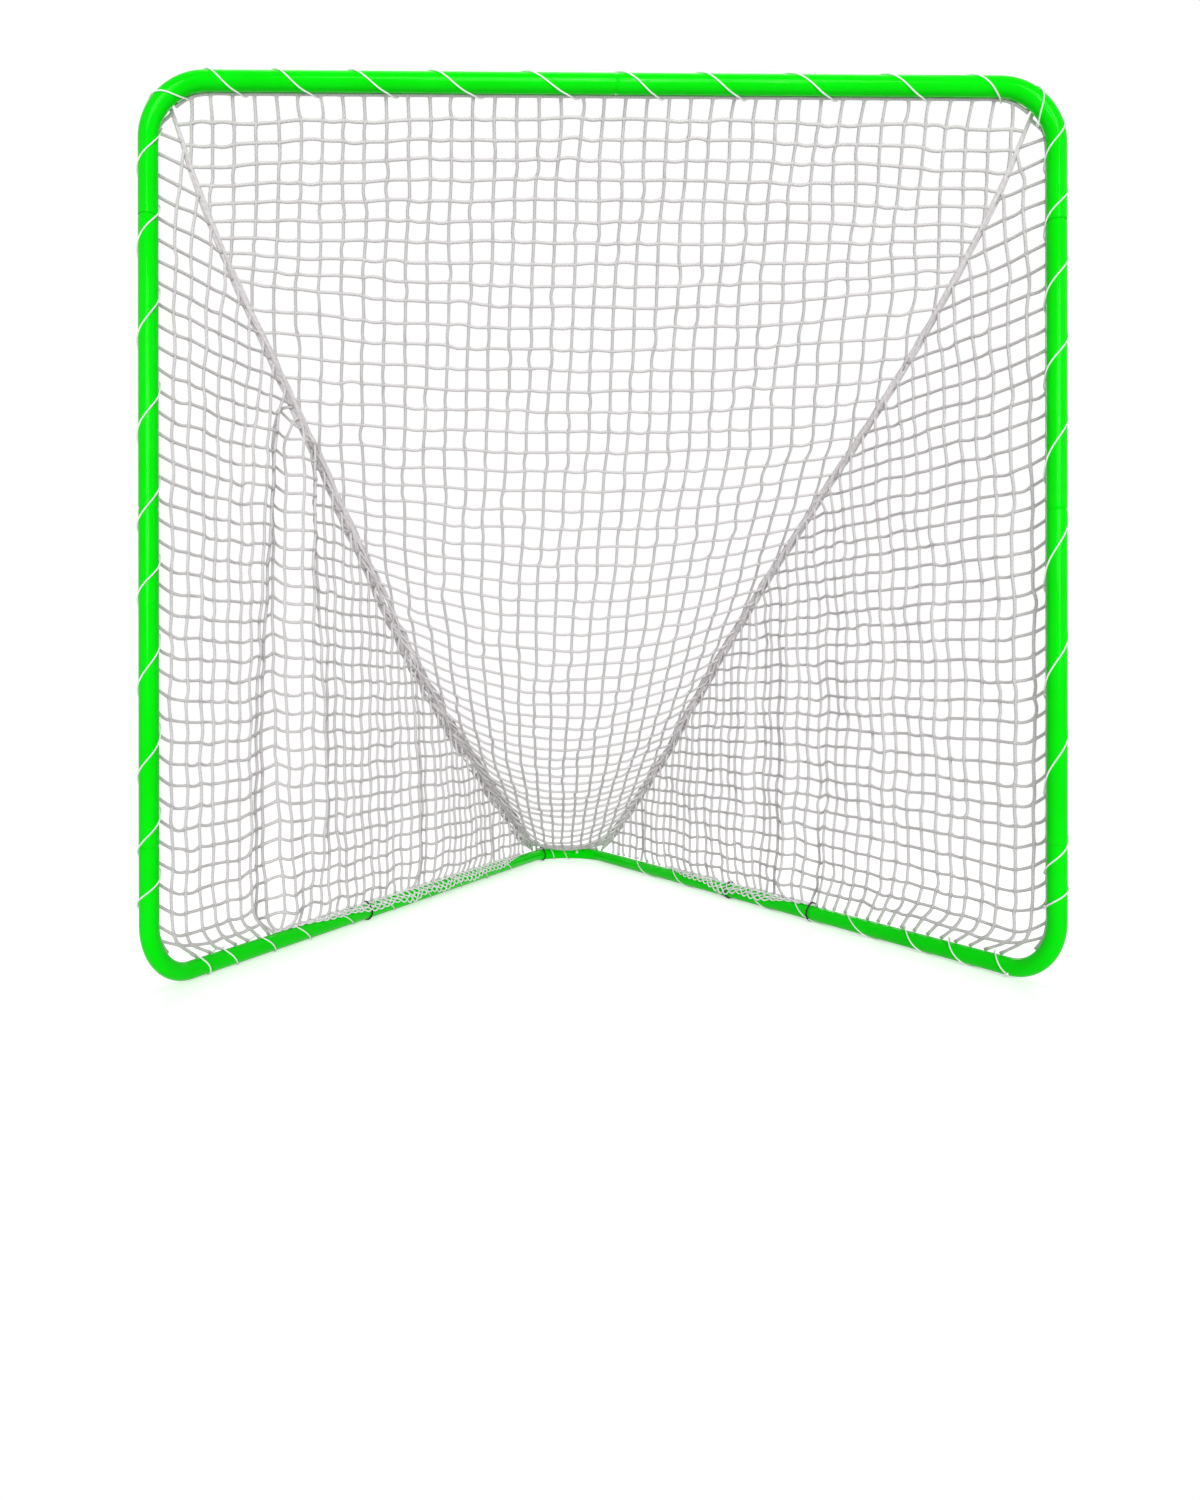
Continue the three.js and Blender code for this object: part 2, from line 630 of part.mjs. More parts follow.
// The rear bend's winding lies between its elastic loop and the right ridge rope, and passes the net inside
// every second gap
const REAR_LENGTH = route.length - 2 * LEG_REAR;
const REAR_GAP = REAR_LENGTH / NET_BACK_COLUMNS;
const REAR_FIRST_PASS = REAR_FIRST_GAP + REAR_GAP_SHARE;
const REAR_LACE_START = LEG_REAR + (REAR_FIRST_PASS - REAR_GAPS_PER_WRAP / 2) * REAR_GAP;
const rearStations = evenly(LEG_REAR, LEG_REAR + REAR_LENGTH, NET_BACK_COLUMNS).slice(1, -1);
addLacing(
  'lacing_rear', REAR_LACE_START, REAR_LACE_START + REAR_WRAPS * REAR_GAPS_PER_WRAP * REAR_GAP, REAR_WRAPS,
  rearStations, NET_ANGLE, true,
);

// Ridge ropes, from the rear side of the top corners down to the ends of the rear bend
function ridgeEnds(side) {
  const corner = route.at(HALF_CROSSBAR + QUARTER_BEND / 2).point;
  const tail = route.at(LEG_REAR).point;
  const lift = TUBE_RADIUS + NET_CLEARANCE + RIDGE_RADIUS;
  return {
    top: new THREE.Vector3(side * Math.abs(corner.x), corner.y + lift, corner.z),
    tail: new THREE.Vector3(side * Math.abs(tail.x), tail.y, tail.z + lift),
  };
}

function ridgePoint(side, share) {
  const { top, tail } = ridgeEnds(side);
  const sag = side < 0 ? RIDGE_SAG_LEFT : RIDGE_SAG_RIGHT;
  return top.clone().lerp(tail, share).addScaledVector(UP, -4 * sag * share * (1 - share));
}

// The level direction square to a ridge, pointing into the goal
function ridgeInward(side) {
  const { top, tail } = ridgeEnds(side);
  const run = tail.clone().sub(top).setZ(0).normalize();
  return run.cross(UP).multiplyScalar(-side);
}

[['left', -1], ['right', 1]].forEach(([word, side]) => {
  const shares = evenly(0, 1, RIDGE_STEPS);
  const points = shares.map((share) => ridgePoint(side, share));
  const towards = points.map(() => ridgeInward(side));
  addPiece(`ridge_rope_${word}`, cordBody(points, towards, RIDGE_RADIUS, RIDGE_SIDES), WHITE_CORD);
});

// Net panels: a grid of knots joined by cords of square section, made as one closed body
function netPanel(knots) {
  const rows = knots.length;
  const columns = knots[0].length;
  const positions = [];
  const index = [];
  const VERTICES_PER_KNOT = 6;
  const put = (point) => positions.push(point.x, point.y, point.z);
  knots.forEach((row, j) => row.forEach((knot, i) => {
    const along = row[Math.min(i + 1, columns - 1)].clone().sub(row[Math.max(i - 1, 0)]).normalize();
    const upper = knots[Math.min(j + 1, rows - 1)][i];
    const up = upper.clone().sub(knots[Math.max(j - 1, 0)][i]).normalize();
    const normal = along.clone().cross(up);
    const spread = NET_CORD_RADIUS / normal.length();
    normal.normalize();
    put(knot.clone().addScaledVector(normal, NET_CORD_RADIUS));
    put(knot.clone().addScaledVector(normal, -NET_CORD_RADIUS));
    [[-1, -1], [1, -1], [1, 1], [-1, 1]].forEach(([a, b]) => {
      put(knot.clone().addScaledVector(along, a * spread).addScaledVector(up, b * spread));
    });
  }));
  const first = (i, j) => (j * columns + i) * VERTICES_PER_KNOT;
  const [TOP, BOTTOM, LOW_LEFT, LOW_RIGHT, HIGH_RIGHT, HIGH_LEFT] = Array(VERTICES_PER_KNOT).keys();
  const quad = (a, b, c, d) => index.push(a, b, c, a, c, d);
  for (let j = 0; j < rows; j += 1) {
    for (let i = 0; i < columns; i += 1) {
      const a = first(i, j);
      if (i < columns - 1) {
        const d = first(i + 1, j);
        quad(a + TOP, d + TOP, d + HIGH_LEFT, a + HIGH_RIGHT);
        quad(a + LOW_RIGHT, d + LOW_LEFT, d + TOP, a + TOP);
        quad(a + HIGH_RIGHT, d + HIGH_LEFT, d + BOTTOM, a + BOTTOM);
        quad(a + BOTTOM, d + BOTTOM, d + LOW_LEFT, a + LOW_RIGHT);
      } else {
        quad(a + TOP, a + LOW_RIGHT, a + BOTTOM, a + HIGH_RIGHT);
      }
      if (i === 0) {
        quad(a + TOP, a + HIGH_LEFT, a + BOTTOM, a + LOW_LEFT);
      }
      if (j < rows - 1) {
        const e = first(i, j + 1);
        quad(a + TOP, a + HIGH_RIGHT, e + LOW_RIGHT, e + TOP);
        quad(a + TOP, e + TOP, e + LOW_LEFT, a + HIGH_LEFT);
        quad(a + BOTTOM, e + BOTTOM, e + LOW_RIGHT, a + HIGH_RIGHT);
        quad(a + BOTTOM, a + HIGH_LEFT, e + LOW_LEFT, e + BOTTOM);
      } else {
        quad(a + TOP, a + HIGH_RIGHT, a + BOTTOM, a + HIGH_LEFT);
      }
      if (j === 0) {
        quad(a + TOP, a + LOW_LEFT, a + BOTTOM, a + LOW_RIGHT);
      }
    }
  }
  return bodyFrom(positions, index);
}

const EDGE_BESIDE_RIDGE = RIDGE_RADIUS + NET_CLEARANCE + NET_CORD_RADIUS;

// Side panel: upright, from the post back along the leg, with its top edge on the ridge rope
function sidePanelKnots(side) {
  const along = (station) => (side < 0 ? station : route.length - station);
  const onFrame = (station) => route.beside(along(station), NET_ANGLE, BORDER_OFFSET);
  const cornerBottom = onFrame(POST_FOOT + QUARTER_BEND / 2);
  const outward = ridgeInward(side).negate();
  const ridgeEdge = (share) => ridgePoint(side, share).addScaledVector(outward, EDGE_BESIDE_RIDGE);
  const bottom = [cornerBottom, ...legStations.map(onFrame)];
  const front = [cornerBottom, ...postStations.map(onFrame), ridgeEdge(0)];
  const { top, tail } = ridgeEnds(side);
  const run = tail.clone().sub(top).setZ(0);
  const shareAt = (point) => point.clone().sub(top).setZ(0).dot(run) / run.lengthSq();
  const crown = [ridgeEdge(0), ...bottom.slice(1).map((point) => ridgeEdge(shareAt(point)))];
  return front.map((frontKnot, j) => bottom.map((foot, i) => {
    if (i === 0) {
      return frontKnot;
    }
    const frontRise = (frontKnot.z - cornerBottom.z) / (crown[0].z - cornerBottom.z);
    const rise = THREE.MathUtils.lerp(frontRise, j / NET_SIDE_ROWS, i / NET_SIDE_COLUMNS);
    return foot.clone().lerp(crown[i], rise);
  }));
}

addPiece('net_side_panel_left', netPanel(sidePanelKnots(-1)), NET_CORD);
addPiece('net_side_panel_right', netPanel(sidePanelKnots(1)), NET_CORD);

// Back panel: from the crossbar down to the top of the rear bend, between the ridge ropes, its middle lowest
function backPanelKnots() {
  const ridgeEdge = (side, share) => (
    ridgePoint(side, share).addScaledVector(ridgeInward(side), EDGE_BESIDE_RIDGE));
  const top = crossbarStations.map((station) => route.beside(station, NET_TOP_ANGLE, BORDER_OFFSET));
  const bottom = rearStations.map((station) => route.beside(station, NET_ANGLE, BORDER_OFFSET));
  return evenly(0, 1, NET_BACK_ROWS).map((share) => {
    const left = ridgeEdge(-1, share);
    const right = ridgeEdge(1, share);
    const inner = top.map((start, i) => {
      const across = (i + 1) / NET_BACK_COLUMNS;
      const edgeSag = THREE.MathUtils.lerp(RIDGE_SAG_LEFT, RIDGE_SAG_RIGHT, across);
      const middleSag = NET_BACK_SAG * 4 * across * (1 - across);
      const hang = 4 * (edgeSag + middleSag) * share * (1 - share);
      return start.clone().lerp(bottom[i], share).addScaledVector(UP, -hang);
    });
    return [left, ...inner, right];
  });
}

addPiece('net_back_panel', netPanel(backPanelKnots()), NET_CORD);

// Elastic loops: each goes round a base tube and the net's border, and its ends run into a ball, which sits
// over the lacing where that passes the outer side of the tube
function addBungee(name, station) {
  const steps = BUNGEE_STEPS;
  const halfStep = Math.PI / steps;
  const radius = BUNGEE_DIAMETER / 2;
  const ballOffset = TUBE_RADIUS + LACE_DIAMETER + 2 * NET_CLEARANCE + BUNGEE_BALL_DIAMETER / 2;
  const nearRadius = (TUBE_RADIUS + LACE_CLEARANCE) / Math.cos(halfStep) + radius;
  const overNet = (BORDER_OFFSET + NET_CORD_RADIUS + NET_CLEARANCE) / Math.cos(halfStep) + radius;
  const quarter = Math.PI / 2;
  const points = [];
  const towards = [];
  const add = (angle, distance) => {
    const direction = route.direction(station, BASE_BUTTON_ANGLE + angle);
    points.push(route.beside(station, BASE_BUTTON_ANGLE + angle, distance + swellAt(station, direction)));
    towards.push(direction);
  };
  add(BUNGEE_ENTRY_SHARE * halfStep, ballOffset - BUNGEE_DIAMETER);
  for (let k = 0; k < steps; k += 1) {
    const angle = (2 * k + 1) * halfStep;
    add(angle, Math.abs(angle - quarter) < 2 * halfStep ? overNet : nearRadius);
  }
  add(-BUNGEE_ENTRY_SHARE * halfStep, ballOffset - BUNGEE_DIAMETER);
  const loop = solidFrom(cordBody(points, towards, radius, BUNGEE_SIDES));
  const bore = solidFrom(cordBody(points, towards, radius + BUNGEE_BORE_CLEARANCE, BUNGEE_SIDES));
  const trimmed = loop.subtract(groundCutter(BUNGEE_GROUND_GAP));
  addPiece(`bungee_loop_${name}`, geometryFrom(trimmed), BLACK_ELASTIC);
  const sphere = new THREE.SphereGeometry(BUNGEE_BALL_DIAMETER / 2, BALL_COLUMNS, BALL_ROWS);
  const centre = route.beside(station, BASE_BUTTON_ANGLE, ballOffset);
  sphere.translate(centre.x, centre.y, centre.z);
  addPiece(`bungee_ball_${name}`, geometryFrom(solidFrom(sphere).subtract(bore)), BLACK_PLASTIC);
}

const besideTube = (BASE_BUTTON_ANGLE - NET_ANGLE) / (2 * Math.PI);
addBungee('left', laceReach(legLaceLeft, BUNGEE_WRAP_LEFT + besideTube));
addBungee('rear', LEG_REAR + BUNGEE_REAR_PLACE * REAR_GAP);
addBungee('right_rear', laceReach(legLaceRight, BUNGEE_WRAP_RIGHT_REAR + besideTube));
addBungee('right_front', laceReach(legLaceRight, BUNGEE_WRAP_RIGHT_FRONT + besideTube));

// The origin is on the ground at the middle of the whole goal
const whole = new THREE.Box3().setFromObject(goal);
const middle = whole.getCenter(new THREE.Vector3());
goal.position.set(-middle.x, -middle.y, -whole.min.z);
goal.updateMatrixWorld(true);

export default goal;
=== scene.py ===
# Dresses the lacrosse goal: smooth painted tubes, knotted net, lacing, elastic loops, light and camera.
# Metres, +Z up. The mouth faces -Y and the net runs back to +Y.
import math

import bpy
import numpy as np
from mathutils import Matrix, Vector


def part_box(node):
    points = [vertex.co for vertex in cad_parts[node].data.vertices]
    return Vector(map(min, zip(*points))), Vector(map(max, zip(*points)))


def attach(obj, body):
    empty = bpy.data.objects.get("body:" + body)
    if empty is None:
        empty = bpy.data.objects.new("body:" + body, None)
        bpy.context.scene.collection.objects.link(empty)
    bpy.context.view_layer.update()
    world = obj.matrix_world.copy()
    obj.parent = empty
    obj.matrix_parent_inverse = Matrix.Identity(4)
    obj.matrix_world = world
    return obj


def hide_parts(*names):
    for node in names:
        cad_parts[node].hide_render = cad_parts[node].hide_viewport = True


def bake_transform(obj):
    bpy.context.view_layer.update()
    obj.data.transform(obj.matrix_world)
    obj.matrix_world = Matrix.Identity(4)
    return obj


# Frame sizes, the same as in the model
MM = 0.001
MOUTH_WIDTH = 1830 * MM
GOAL_HEIGHT = 1810 * MM
GOAL_DEPTH = 1915 * MM
CORNER_BEND_RADIUS = 115 * MM
REAR_BEND_RADIUS = 140 * MM
TUBE_RADIUS = 19.05 * MM
TUBE_WALL = 1.5 * MM
SWAGE_RADIUS = 17.25 * MM
SWAGE_INSERT = 64 * MM
SWAGE_TAPER = 5.5 * MM
SHOULDER_GAP = 0.6 * MM
RIM_ROUNDING = 0.35 * MM
SHOULDER_ROUNDING = 0.15 * MM
NECK_ROUNDING = 0.12 * MM
BORE_RADIUS = TUBE_RADIUS - TUBE_WALL
CROSSBAR_JOINT_OFFSET = 20 * MM
CORNER_STUB_LENGTH = 285 * MM
UPPER_POST_LENGTH = 575 * MM
BASE_CORNER_LENGTH = 934 * MM
REAR_STUB_LENGTH = 300 * MM
BASE_AXIS_HEIGHT = 21.7202 * MM
REAR_SHIFT = 936.39 * MM

BUTTON_RADIUS = 3.8 * MM
BUTTON_HOLE_RADIUS = 4.2 * MM
BUTTON_SETBACK = 30 * MM
BUTTON_PROUD = 3.5 * MM
BUTTON_FLANGE_RADIUS = 4.7 * MM
BUTTON_FLANGE_THICKNESS = 0.8 * MM
BUTTON_SEAT = 14.22 * MM
DOME_HEIGHT = 2.2 * MM
DOME_ANGLE = 1.35
DOME_STEPS = 7
HOLE_LOW = SWAGE_RADIUS / 2
HOLE_HIGH = TUBE_RADIUS * 1.4

SPRING_THICKNESS = 0.8 * MM
SPRING_WIDTH = 7 * MM
SPRING_LENGTH = 50 * MM
SPRING_TOE = 7 * MM
SPRING_SEAT = 6 * MM
SPRING_CLEARANCE = 0.3 * MM
SPRING_BEND = 1.2 * MM
SPRING_HIGH = BUTTON_SEAT - BUTTON_FLANGE_THICKNESS - SPRING_CLEARANCE - SPRING_THICKNESS / 2
SPRING_LOW = -14.12 * MM
SPRING_STEPS = 12

LACE_RADIUS = 1.5 * MM
LACE_CLEARANCE = 0.25 * MM
NET_CORD_RADIUS = 3.2 * MM
NET_CLEARANCE = 0.3 * MM
RIDGE_RADIUS = 4.2 * MM
BUNGEE_RADIUS = 2 * MM
BUNGEE_BALL_RADIUS = 12.5 * MM
NET_TOP_ANGLE = math.radians(45)
NET_FLOAT = 0.5 * MM

# Sides of round things, steps along bends, from which angle an edge is sharp, and how cords end
TUBE_SIDES = 48
BUTTON_SIDES = 32
HOLE_SIDES = 24
ROUND_SIDES = 10
NET_SIDES = 6
BEND_STEP = 9 * MM
DISTANCE_DIGITS = 7
SHARP_ANGLE = math.radians(40)
BUTTON_SHARP_ANGLE = math.radians(50)
LEAST_CROSS = 0.2
TIP_SHARE = 0.3

WHITE = (1, 1, 1, 1)
SOIL_SHARE = 0.35
SIDES = {-1: "left", 1: "right"}

rng = np.random.default_rng(20)

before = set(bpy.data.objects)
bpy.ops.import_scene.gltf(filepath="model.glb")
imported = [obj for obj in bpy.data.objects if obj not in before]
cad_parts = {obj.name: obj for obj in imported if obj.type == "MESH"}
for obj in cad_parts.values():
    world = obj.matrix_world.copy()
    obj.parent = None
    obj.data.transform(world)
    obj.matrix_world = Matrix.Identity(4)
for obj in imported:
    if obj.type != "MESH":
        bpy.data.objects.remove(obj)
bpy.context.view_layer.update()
scene = bpy.context.scene


def unit(vector):
    return vector / np.linalg.norm(vector, axis=-1, keepdims=True)


def turned(vector, axis, angle):
    """Vectors turned about an axis, each by its angle."""
    angle = angle[:, None]
    along = (vector @ axis)[:, None] * axis
    side = np.cross(axis, vector)
    return along + (vector - along) * np.cos(angle) + side * np.sin(angle)


class Route:
    """The frame's centre line, from the middle of the crossbar round to the left."""

    def __init__(self, point, tangent, facing):
        self.stretches = []
        self.length = 0.0
        self.end = (np.array(point, float), np.array(tangent, float), np.array(facing, float))

    def line(self, length, **bend):
        self.stretches.append({"start": self.length, "from": self.end, **bend})
        self.length += length
        self.end = tuple(directions[0] for directions in self.at(self.length)[:3])
        return self

    def bend(self, radius, towards):
        point, tangent, _ = self.end
        towards = np.array(towards, float)
        axis = unit(np.cross(tangent, towards))
        centre = point + np.cross(axis, tangent) * radius
        turn = math.acos(float(tangent @ towards))
        return self.line(radius * turn, axis=axis, centre=centre, radius=radius)

    def at(self, distance):
        """Points with their tangent, facing and across directions."""
        distance = np.atleast_1d(np.asarray(distance, float))
        past_ends = (distance > self.length) | (distance < 0)
        along = np.where(past_ends, np.mod(distance, self.length), distance)
        points, tangents, facings = (np.zeros((len(along), 3)) for _ in range(3))
        starts = np.array([stretch["start"] for stretch in self.stretches])
        which = np.searchsorted(starts, along, side="right") - 1
        for number, stretch in enumerate(self.stretches):
            chosen = which == number
            if not chosen.any():
                continue
            point, tangent, facing = stretch["from"]
            past = along[chosen] - stretch["start"]
            if "axis" not in stretch:
                points[chosen] = point + tangent * past[:, None]
                tangents[chosen] = tangent
                facings[chosen] = facing
                continue
            angle = past / stretch["radius"]
            arm = np.broadcast_to(point - stretch["centre"], (len(past), 3))
            points[chosen] = stretch["centre"] + turned(arm, stretch["axis"], angle)
            tangents[chosen] = turned(np.broadcast_to(tangent, arm.shape), stretch["axis"], angle)
            facings[chosen] = turned(np.broadcast_to(facing, arm.shape), stretch["axis"], angle)
        return points, tangents, facings, np.cross(tangents, facings)

    def point(self, distance):
        return self.at(distance)[0][0]

    def direction(self, distance, angle):
        _, _, facing, across = self.at(distance)
        angle = np.atleast_1d(angle)[:, None]
        return facing * np.cos(angle) + across * np.sin(angle)

    def beside(self, distance, angle, offset):
        return self.at(distance)[0] + self.direction(distance, angle) * np.atleast_1d(offset)[:, None]


POST_X = MOUTH_WIDTH / 2 - TUBE_RADIUS
TOP_AXIS_HEIGHT = GOAL_HEIGHT - TUBE_RADIUS
REAR_CENTRE_Y = GOAL_DEPTH - 2 * TUBE_RADIUS - REAR_BEND_RADIUS
REAR_REACH = math.hypot(POST_X, REAR_CENTRE_Y)
LEG_ANGLE = math.atan2(POST_X, REAR_CENTRE_Y) - math.asin(REAR_BEND_RADIUS / REAR_REACH)
LEG_LENGTH = math.sqrt(REAR_REACH ** 2 - REAR_BEND_RADIUS ** 2)
HALF_CROSSBAR = POST_X - CORNER_BEND_RADIUS
POST_STRAIGHT = TOP_AXIS_HEIGHT - BASE_AXIS_HEIGHT - 2 * CORNER_BEND_RADIUS
LEG_STRAIGHT = LEG_LENGTH - CORNER_BEND_RADIUS
QUARTER_BEND = CORNER_BEND_RADIUS * math.pi / 2
LEG_LEFT = (math.sin(LEG_ANGLE), math.cos(LEG_ANGLE), 0)
LEG_RIGHT = (math.sin(LEG_ANGLE), -math.cos(LEG_ANGLE), 0)

route = (
    Route((0, -REAR_SHIFT, TOP_AXIS_HEIGHT), (-1, 0, 0), (0, 1, 0))
    .line(HALF_CROSSBAR)
    .bend(CORNER_BEND_RADIUS, (0, 0, -1))
    .line(POST_STRAIGHT)
    .bend(CORNER_BEND_RADIUS, LEG_LEFT)
    .line(LEG_STRAIGHT)
    .bend(REAR_BEND_RADIUS, LEG_RIGHT)
    .line(LEG_STRAIGHT)
    .bend(CORNER_BEND_RADIUS, (0, 0, 1))
    .line(POST_STRAIGHT)
    .bend(CORNER_BEND_RADIUS, (-1, 0, 0))
    .line(HALF_CROSSBAR)
)

POST_TOP = HALF_CROSSBAR + QUARTER_BEND
POST_FOOT = POST_TOP + POST_STRAIGHT
LEG_FRONT = POST_FOOT + QUARTER_BEND
LEG_REAR = LEG_FRONT + LEG_STRAIGHT
REAR_LENGTH = route.length - 2 * LEG_REAR
TOP_CORNER_EDGE = TUBE_RADIUS + CORNER_BEND_RADIUS
JOINT_POST_TOP = POST_TOP + CORNER_STUB_LENGTH - TOP_CORNER_EDGE
JOINT_POST_FOOT = POST_FOOT - (CORNER_STUB_LENGTH - TOP_CORNER_EDGE)
BASE_BUTTON_ANGLE = LEG_ANGLE - math.pi / 2
BORDER_OFFSET = TUBE_RADIUS + NET_CLEARANCE + NET_CORD_RADIUS

# Joints: name, distance, the way the swaged end points, the angle of the button
left_joints = [
    ("post_top", JOINT_POST_TOP, -1, 0),
    ("post_middle", JOINT_POST_TOP + UPPER_POST_LENGTH, 1, 0),
    ("post_foot", JOINT_POST_FOOT, 1, 0),
    ("base_front", LEG_FRONT + BASE_CORNER_LENGTH - TOP_CORNER_EDGE, -1, BASE_BUTTON_ANGLE),
    ("base_rear", LEG_REAR - REAR_STUB_LENGTH, 1, BASE_BUTTON_ANGLE),
]
joints = {"crossbar": (-CROSSBAR_JOINT_OFFSET, 1, 0)}
for name, distance, tip, angle in left_joints:
    joints[f"{name}_left"] = (distance, tip, angle)
    joints[f"{name}_right"] = (route.length - distance, -tip, angle)


# Materials
def put(tree, kind, values=None, **settings):
    """A shader node. The value of an input is a number, a colour, or the output that it is linked to."""
    node = tree.nodes.new(f"ShaderNode{kind}")
    for name, value in settings.items():
        setattr(node, name, value)
    for name, value in (values or {}).items():
        if isinstance(value, bpy.types.NodeSocket):
            tree.links.new(value, node.inputs[name])
        else:
            node.inputs[name].default_value = value
    return node


def new_material(name, colour, roughness, metallic=0.0):
    material = bpy.data.materials.new(name)
    material.use_nodes = True
    shader = material.node_tree.nodes["Principled BSDF"]
    shader.inputs["Base Color"].default_value = colour
    shader.inputs["Roughness"].default_value = roughness
    shader.inputs["Metallic"].default_value = metallic
    return material, material.node_tree, shader


def noise(tree, scale, detail=3.0):
    """A noise pattern in object coordinates."""
    place = put(tree, "TexCoord").outputs["Object"]
    return put(tree, "TexNoise", {"Vector": place, "Scale": scale, "Detail": detail}).outputs["Fac"]


def ranged(tree, source, low, high, source_low=0.3, source_high=0.7):
    """A pattern brought into a range."""
    values = {"Value": source, "From Min": source_low, "From Max": source_high}
    return put(tree, "MapRange", values | {"To Min": low, "To Max": high}).outputs["Result"]


def mixed(tree, factor, first, second, blend="MIX"):
    values = {"Factor": factor, "A": first, "B": second}
    return put(tree, "Mix", values, data_type="RGBA", blend_type=blend).outputs["Result"]


def maths(tree, operation, *values):
    return put(tree, "Math", dict(enumerate(values)), operation=operation).outputs["Value"]


def bumped(tree, shader, height, strength, distance):
    bump = put(tree, "Bump", {"Height": height, "Strength": strength, "Distance": distance})
    tree.links.new(bump.outputs["Normal"], shader.inputs["Normal"])


def paint_material():
    material, tree, shader = new_material("frame_paint", (0, 0.78, 0.002, 1), roughness=0.12)
    cloud = ranged(tree, noise(tree, scale=9), 0, 1)
    colour = mixed(tree, cloud, (0, 0.75, 0.001, 1), (0, 0.81, 0.003, 1))
    tree.links.new(colour, shader.inputs["Base Color"])
    tree.links.new(ranged(tree, noise(tree, scale=40), 0.09, 0.15), shader.inputs["Roughness"])
    bumped(tree, shader, noise(tree, scale=260, detail=2), strength=0.05, distance=0.4 * MM)
    shader.inputs["Specular IOR Level"].default_value = 0.05
    return material


def rough_material(name, colour, scale, smoothest, roughest, metallic):
    """One colour, with a roughness that varies in fine grains."""
    material, tree, shader = new_material(name, colour, roughest, metallic)
    tree.links.new(ranged(tree, noise(tree, scale), smoothest, roughest), shader.inputs["Roughness"])
    return material


def cord_material(name, light, groove_shade, turns_per_metre, strength, braided=True):
    """Cord with strands that run round it, from the UV map: across is round the cord, up is along it."""
    material, tree, shader = new_material(name, light, roughness=0.85)
    place = put(tree, "UVMap", uv_map="cord").outputs["UV"]
    across_up = put(tree, "SeparateXYZ", {"Vector": place}).outputs
    wraps = []
    for turns in (turns_per_metre, -turns_per_metre):
        along = maths(tree, "MULTIPLY", across_up["Y"], turns * 2 * math.pi)
        wraps.append(maths(tree, "SINE", maths(tree, "MULTIPLY_ADD", across_up["X"], 4 * math.pi, along)))
    strands = maths(tree, "MAXIMUM", wraps[0], wraps[1] if braided else -1)
    level = ranged(tree, strands, 0, 1, source_low=-1, source_high=1)
    soil = mixed(tree, ranged(tree, noise(tree, scale=14), 0, 1), (0.8, 0.78, 0.78, 1), WHITE)
    # Painted shade: the grooves between the strands take the darker colour and their crests the lighter one
    shade = mixed(tree, SOIL_SHARE, mixed(tree, level, groove_shade, light), soil, blend="MULTIPLY")
    tree.links.new(shade, shader.inputs["Base Color"])
    bumped(tree, shader, level, strength, distance=0.8 * MM)
    shader.inputs["Specular IOR Level"].default_value = 0.25
    return material


PAINT = paint_material()
BUTTON_STEEL = rough_material("button_steel", (0.62, 0.63, 0.65, 1), 600, 0.2, 0.36, metallic=1.0)
SPRING_STEEL = rough_material("spring_steel", (0.45, 0.46, 0.48, 1), 600, 0.3, 0.46, metallic=1.0)
BALL = rough_material("ball_plastic", (0.012, 0.012, 0.013, 1), 300, 0.28, 0.42, metallic=0.0)
# Cords: strand colour, a darker painted shade for the grooves between strands, turns a metre, bump strength
LACE = cord_material("lace_cord", (0.95, 0.95, 0.94, 1), (0.84, 0.84, 0.83, 1), 160, 0.4)
ROPE = cord_material("ridge_rope", (0.77, 0.735, 0.75, 1), (0.68, 0.65, 0.66, 1), 70, 0.2, braided=False)
NET = cord_material("net_cord", (0.70, 0.675, 0.68, 1), (0.59, 0.565, 0.57, 1), 110, 0.4)
ELASTIC = cord_material("elastic_cord", (0.03, 0.03, 0.03, 1), (0.01, 0.01, 0.01, 1), 200, 0.5)


# Mesh helpers
def mesh_object(name, vertices, faces, material, uvs=None):
    """A smooth mesh. Faces have four corners, and one that names its last corner twice is a triangle."""
    vertices = np.asarray(vertices, float)
    faces = np.asarray(faces, np.int32)
    triangle = faces[:, 2] == faces[:, 3]
    sizes = np.where(triangle, 3, 4)
    used = np.ones(faces.shape, bool)
    used[triangle, 3] = False
    mesh = bpy.data.meshes.new(name)
    mesh.vertices.add(len(vertices))
    mesh.vertices.foreach_set("co", vertices.ravel())
    mesh.loops.add(int(sizes.sum()))
    mesh.loops.foreach_set("vertex_index", faces[used])
    mesh.polygons.add(len(faces))
    mesh.polygons.foreach_set("loop_start", (np.cumsum(sizes) - sizes).astype(np.int32))
    if uvs is not None:
        layer = mesh.uv_layers.new(name="cord")
        layer.data.foreach_set("uv", np.reshape(uvs, (-1, 4, 2))[used].ravel())
    mesh.update(calc_edges=True)
    mesh.shade_smooth()
    mesh.materials.append(material)
    piece = bpy.data.objects.new(name, mesh)
    scene.collection.objects.link(piece)
    return piece


def ring_vertices(points, firsts, seconds, radii, sides, start=0.0):
    """Rings of points round a line. They start a share of one side away from the first direction."""
    angles = ((np.arange(sides) + start) * 2 * math.pi / sides)[None, :, None]
    rings = firsts[:, None] * np.cos(angles) + seconds[:, None] * np.sin(angles)
    return (points[:, None] + rings * radii[:, None, None]).reshape(-1, 3)


def ring_faces(rows, sides, closed=False):
    """Faces between rings, and if closed also from the last ring to the first."""
    i = np.arange(rows if closed else rows - 1)[:, None]
    k = np.arange(sides)[None, :]
    here, there, after = i * sides, (i + 1) % rows * sides, (k + 1) % sides
    return np.stack([here + k, here + after, there + after, there + k], axis=-1).reshape(-1, 4)


def keep_above_floor(piece, least):
    positions = np.zeros(len(piece.data.vertices) * 3)
    piece.data.vertices.foreach_get("co", positions)
    positions[2::3] = np.maximum(positions[2::3], least)
    piece.data.vertices.foreach_set("co", positions)


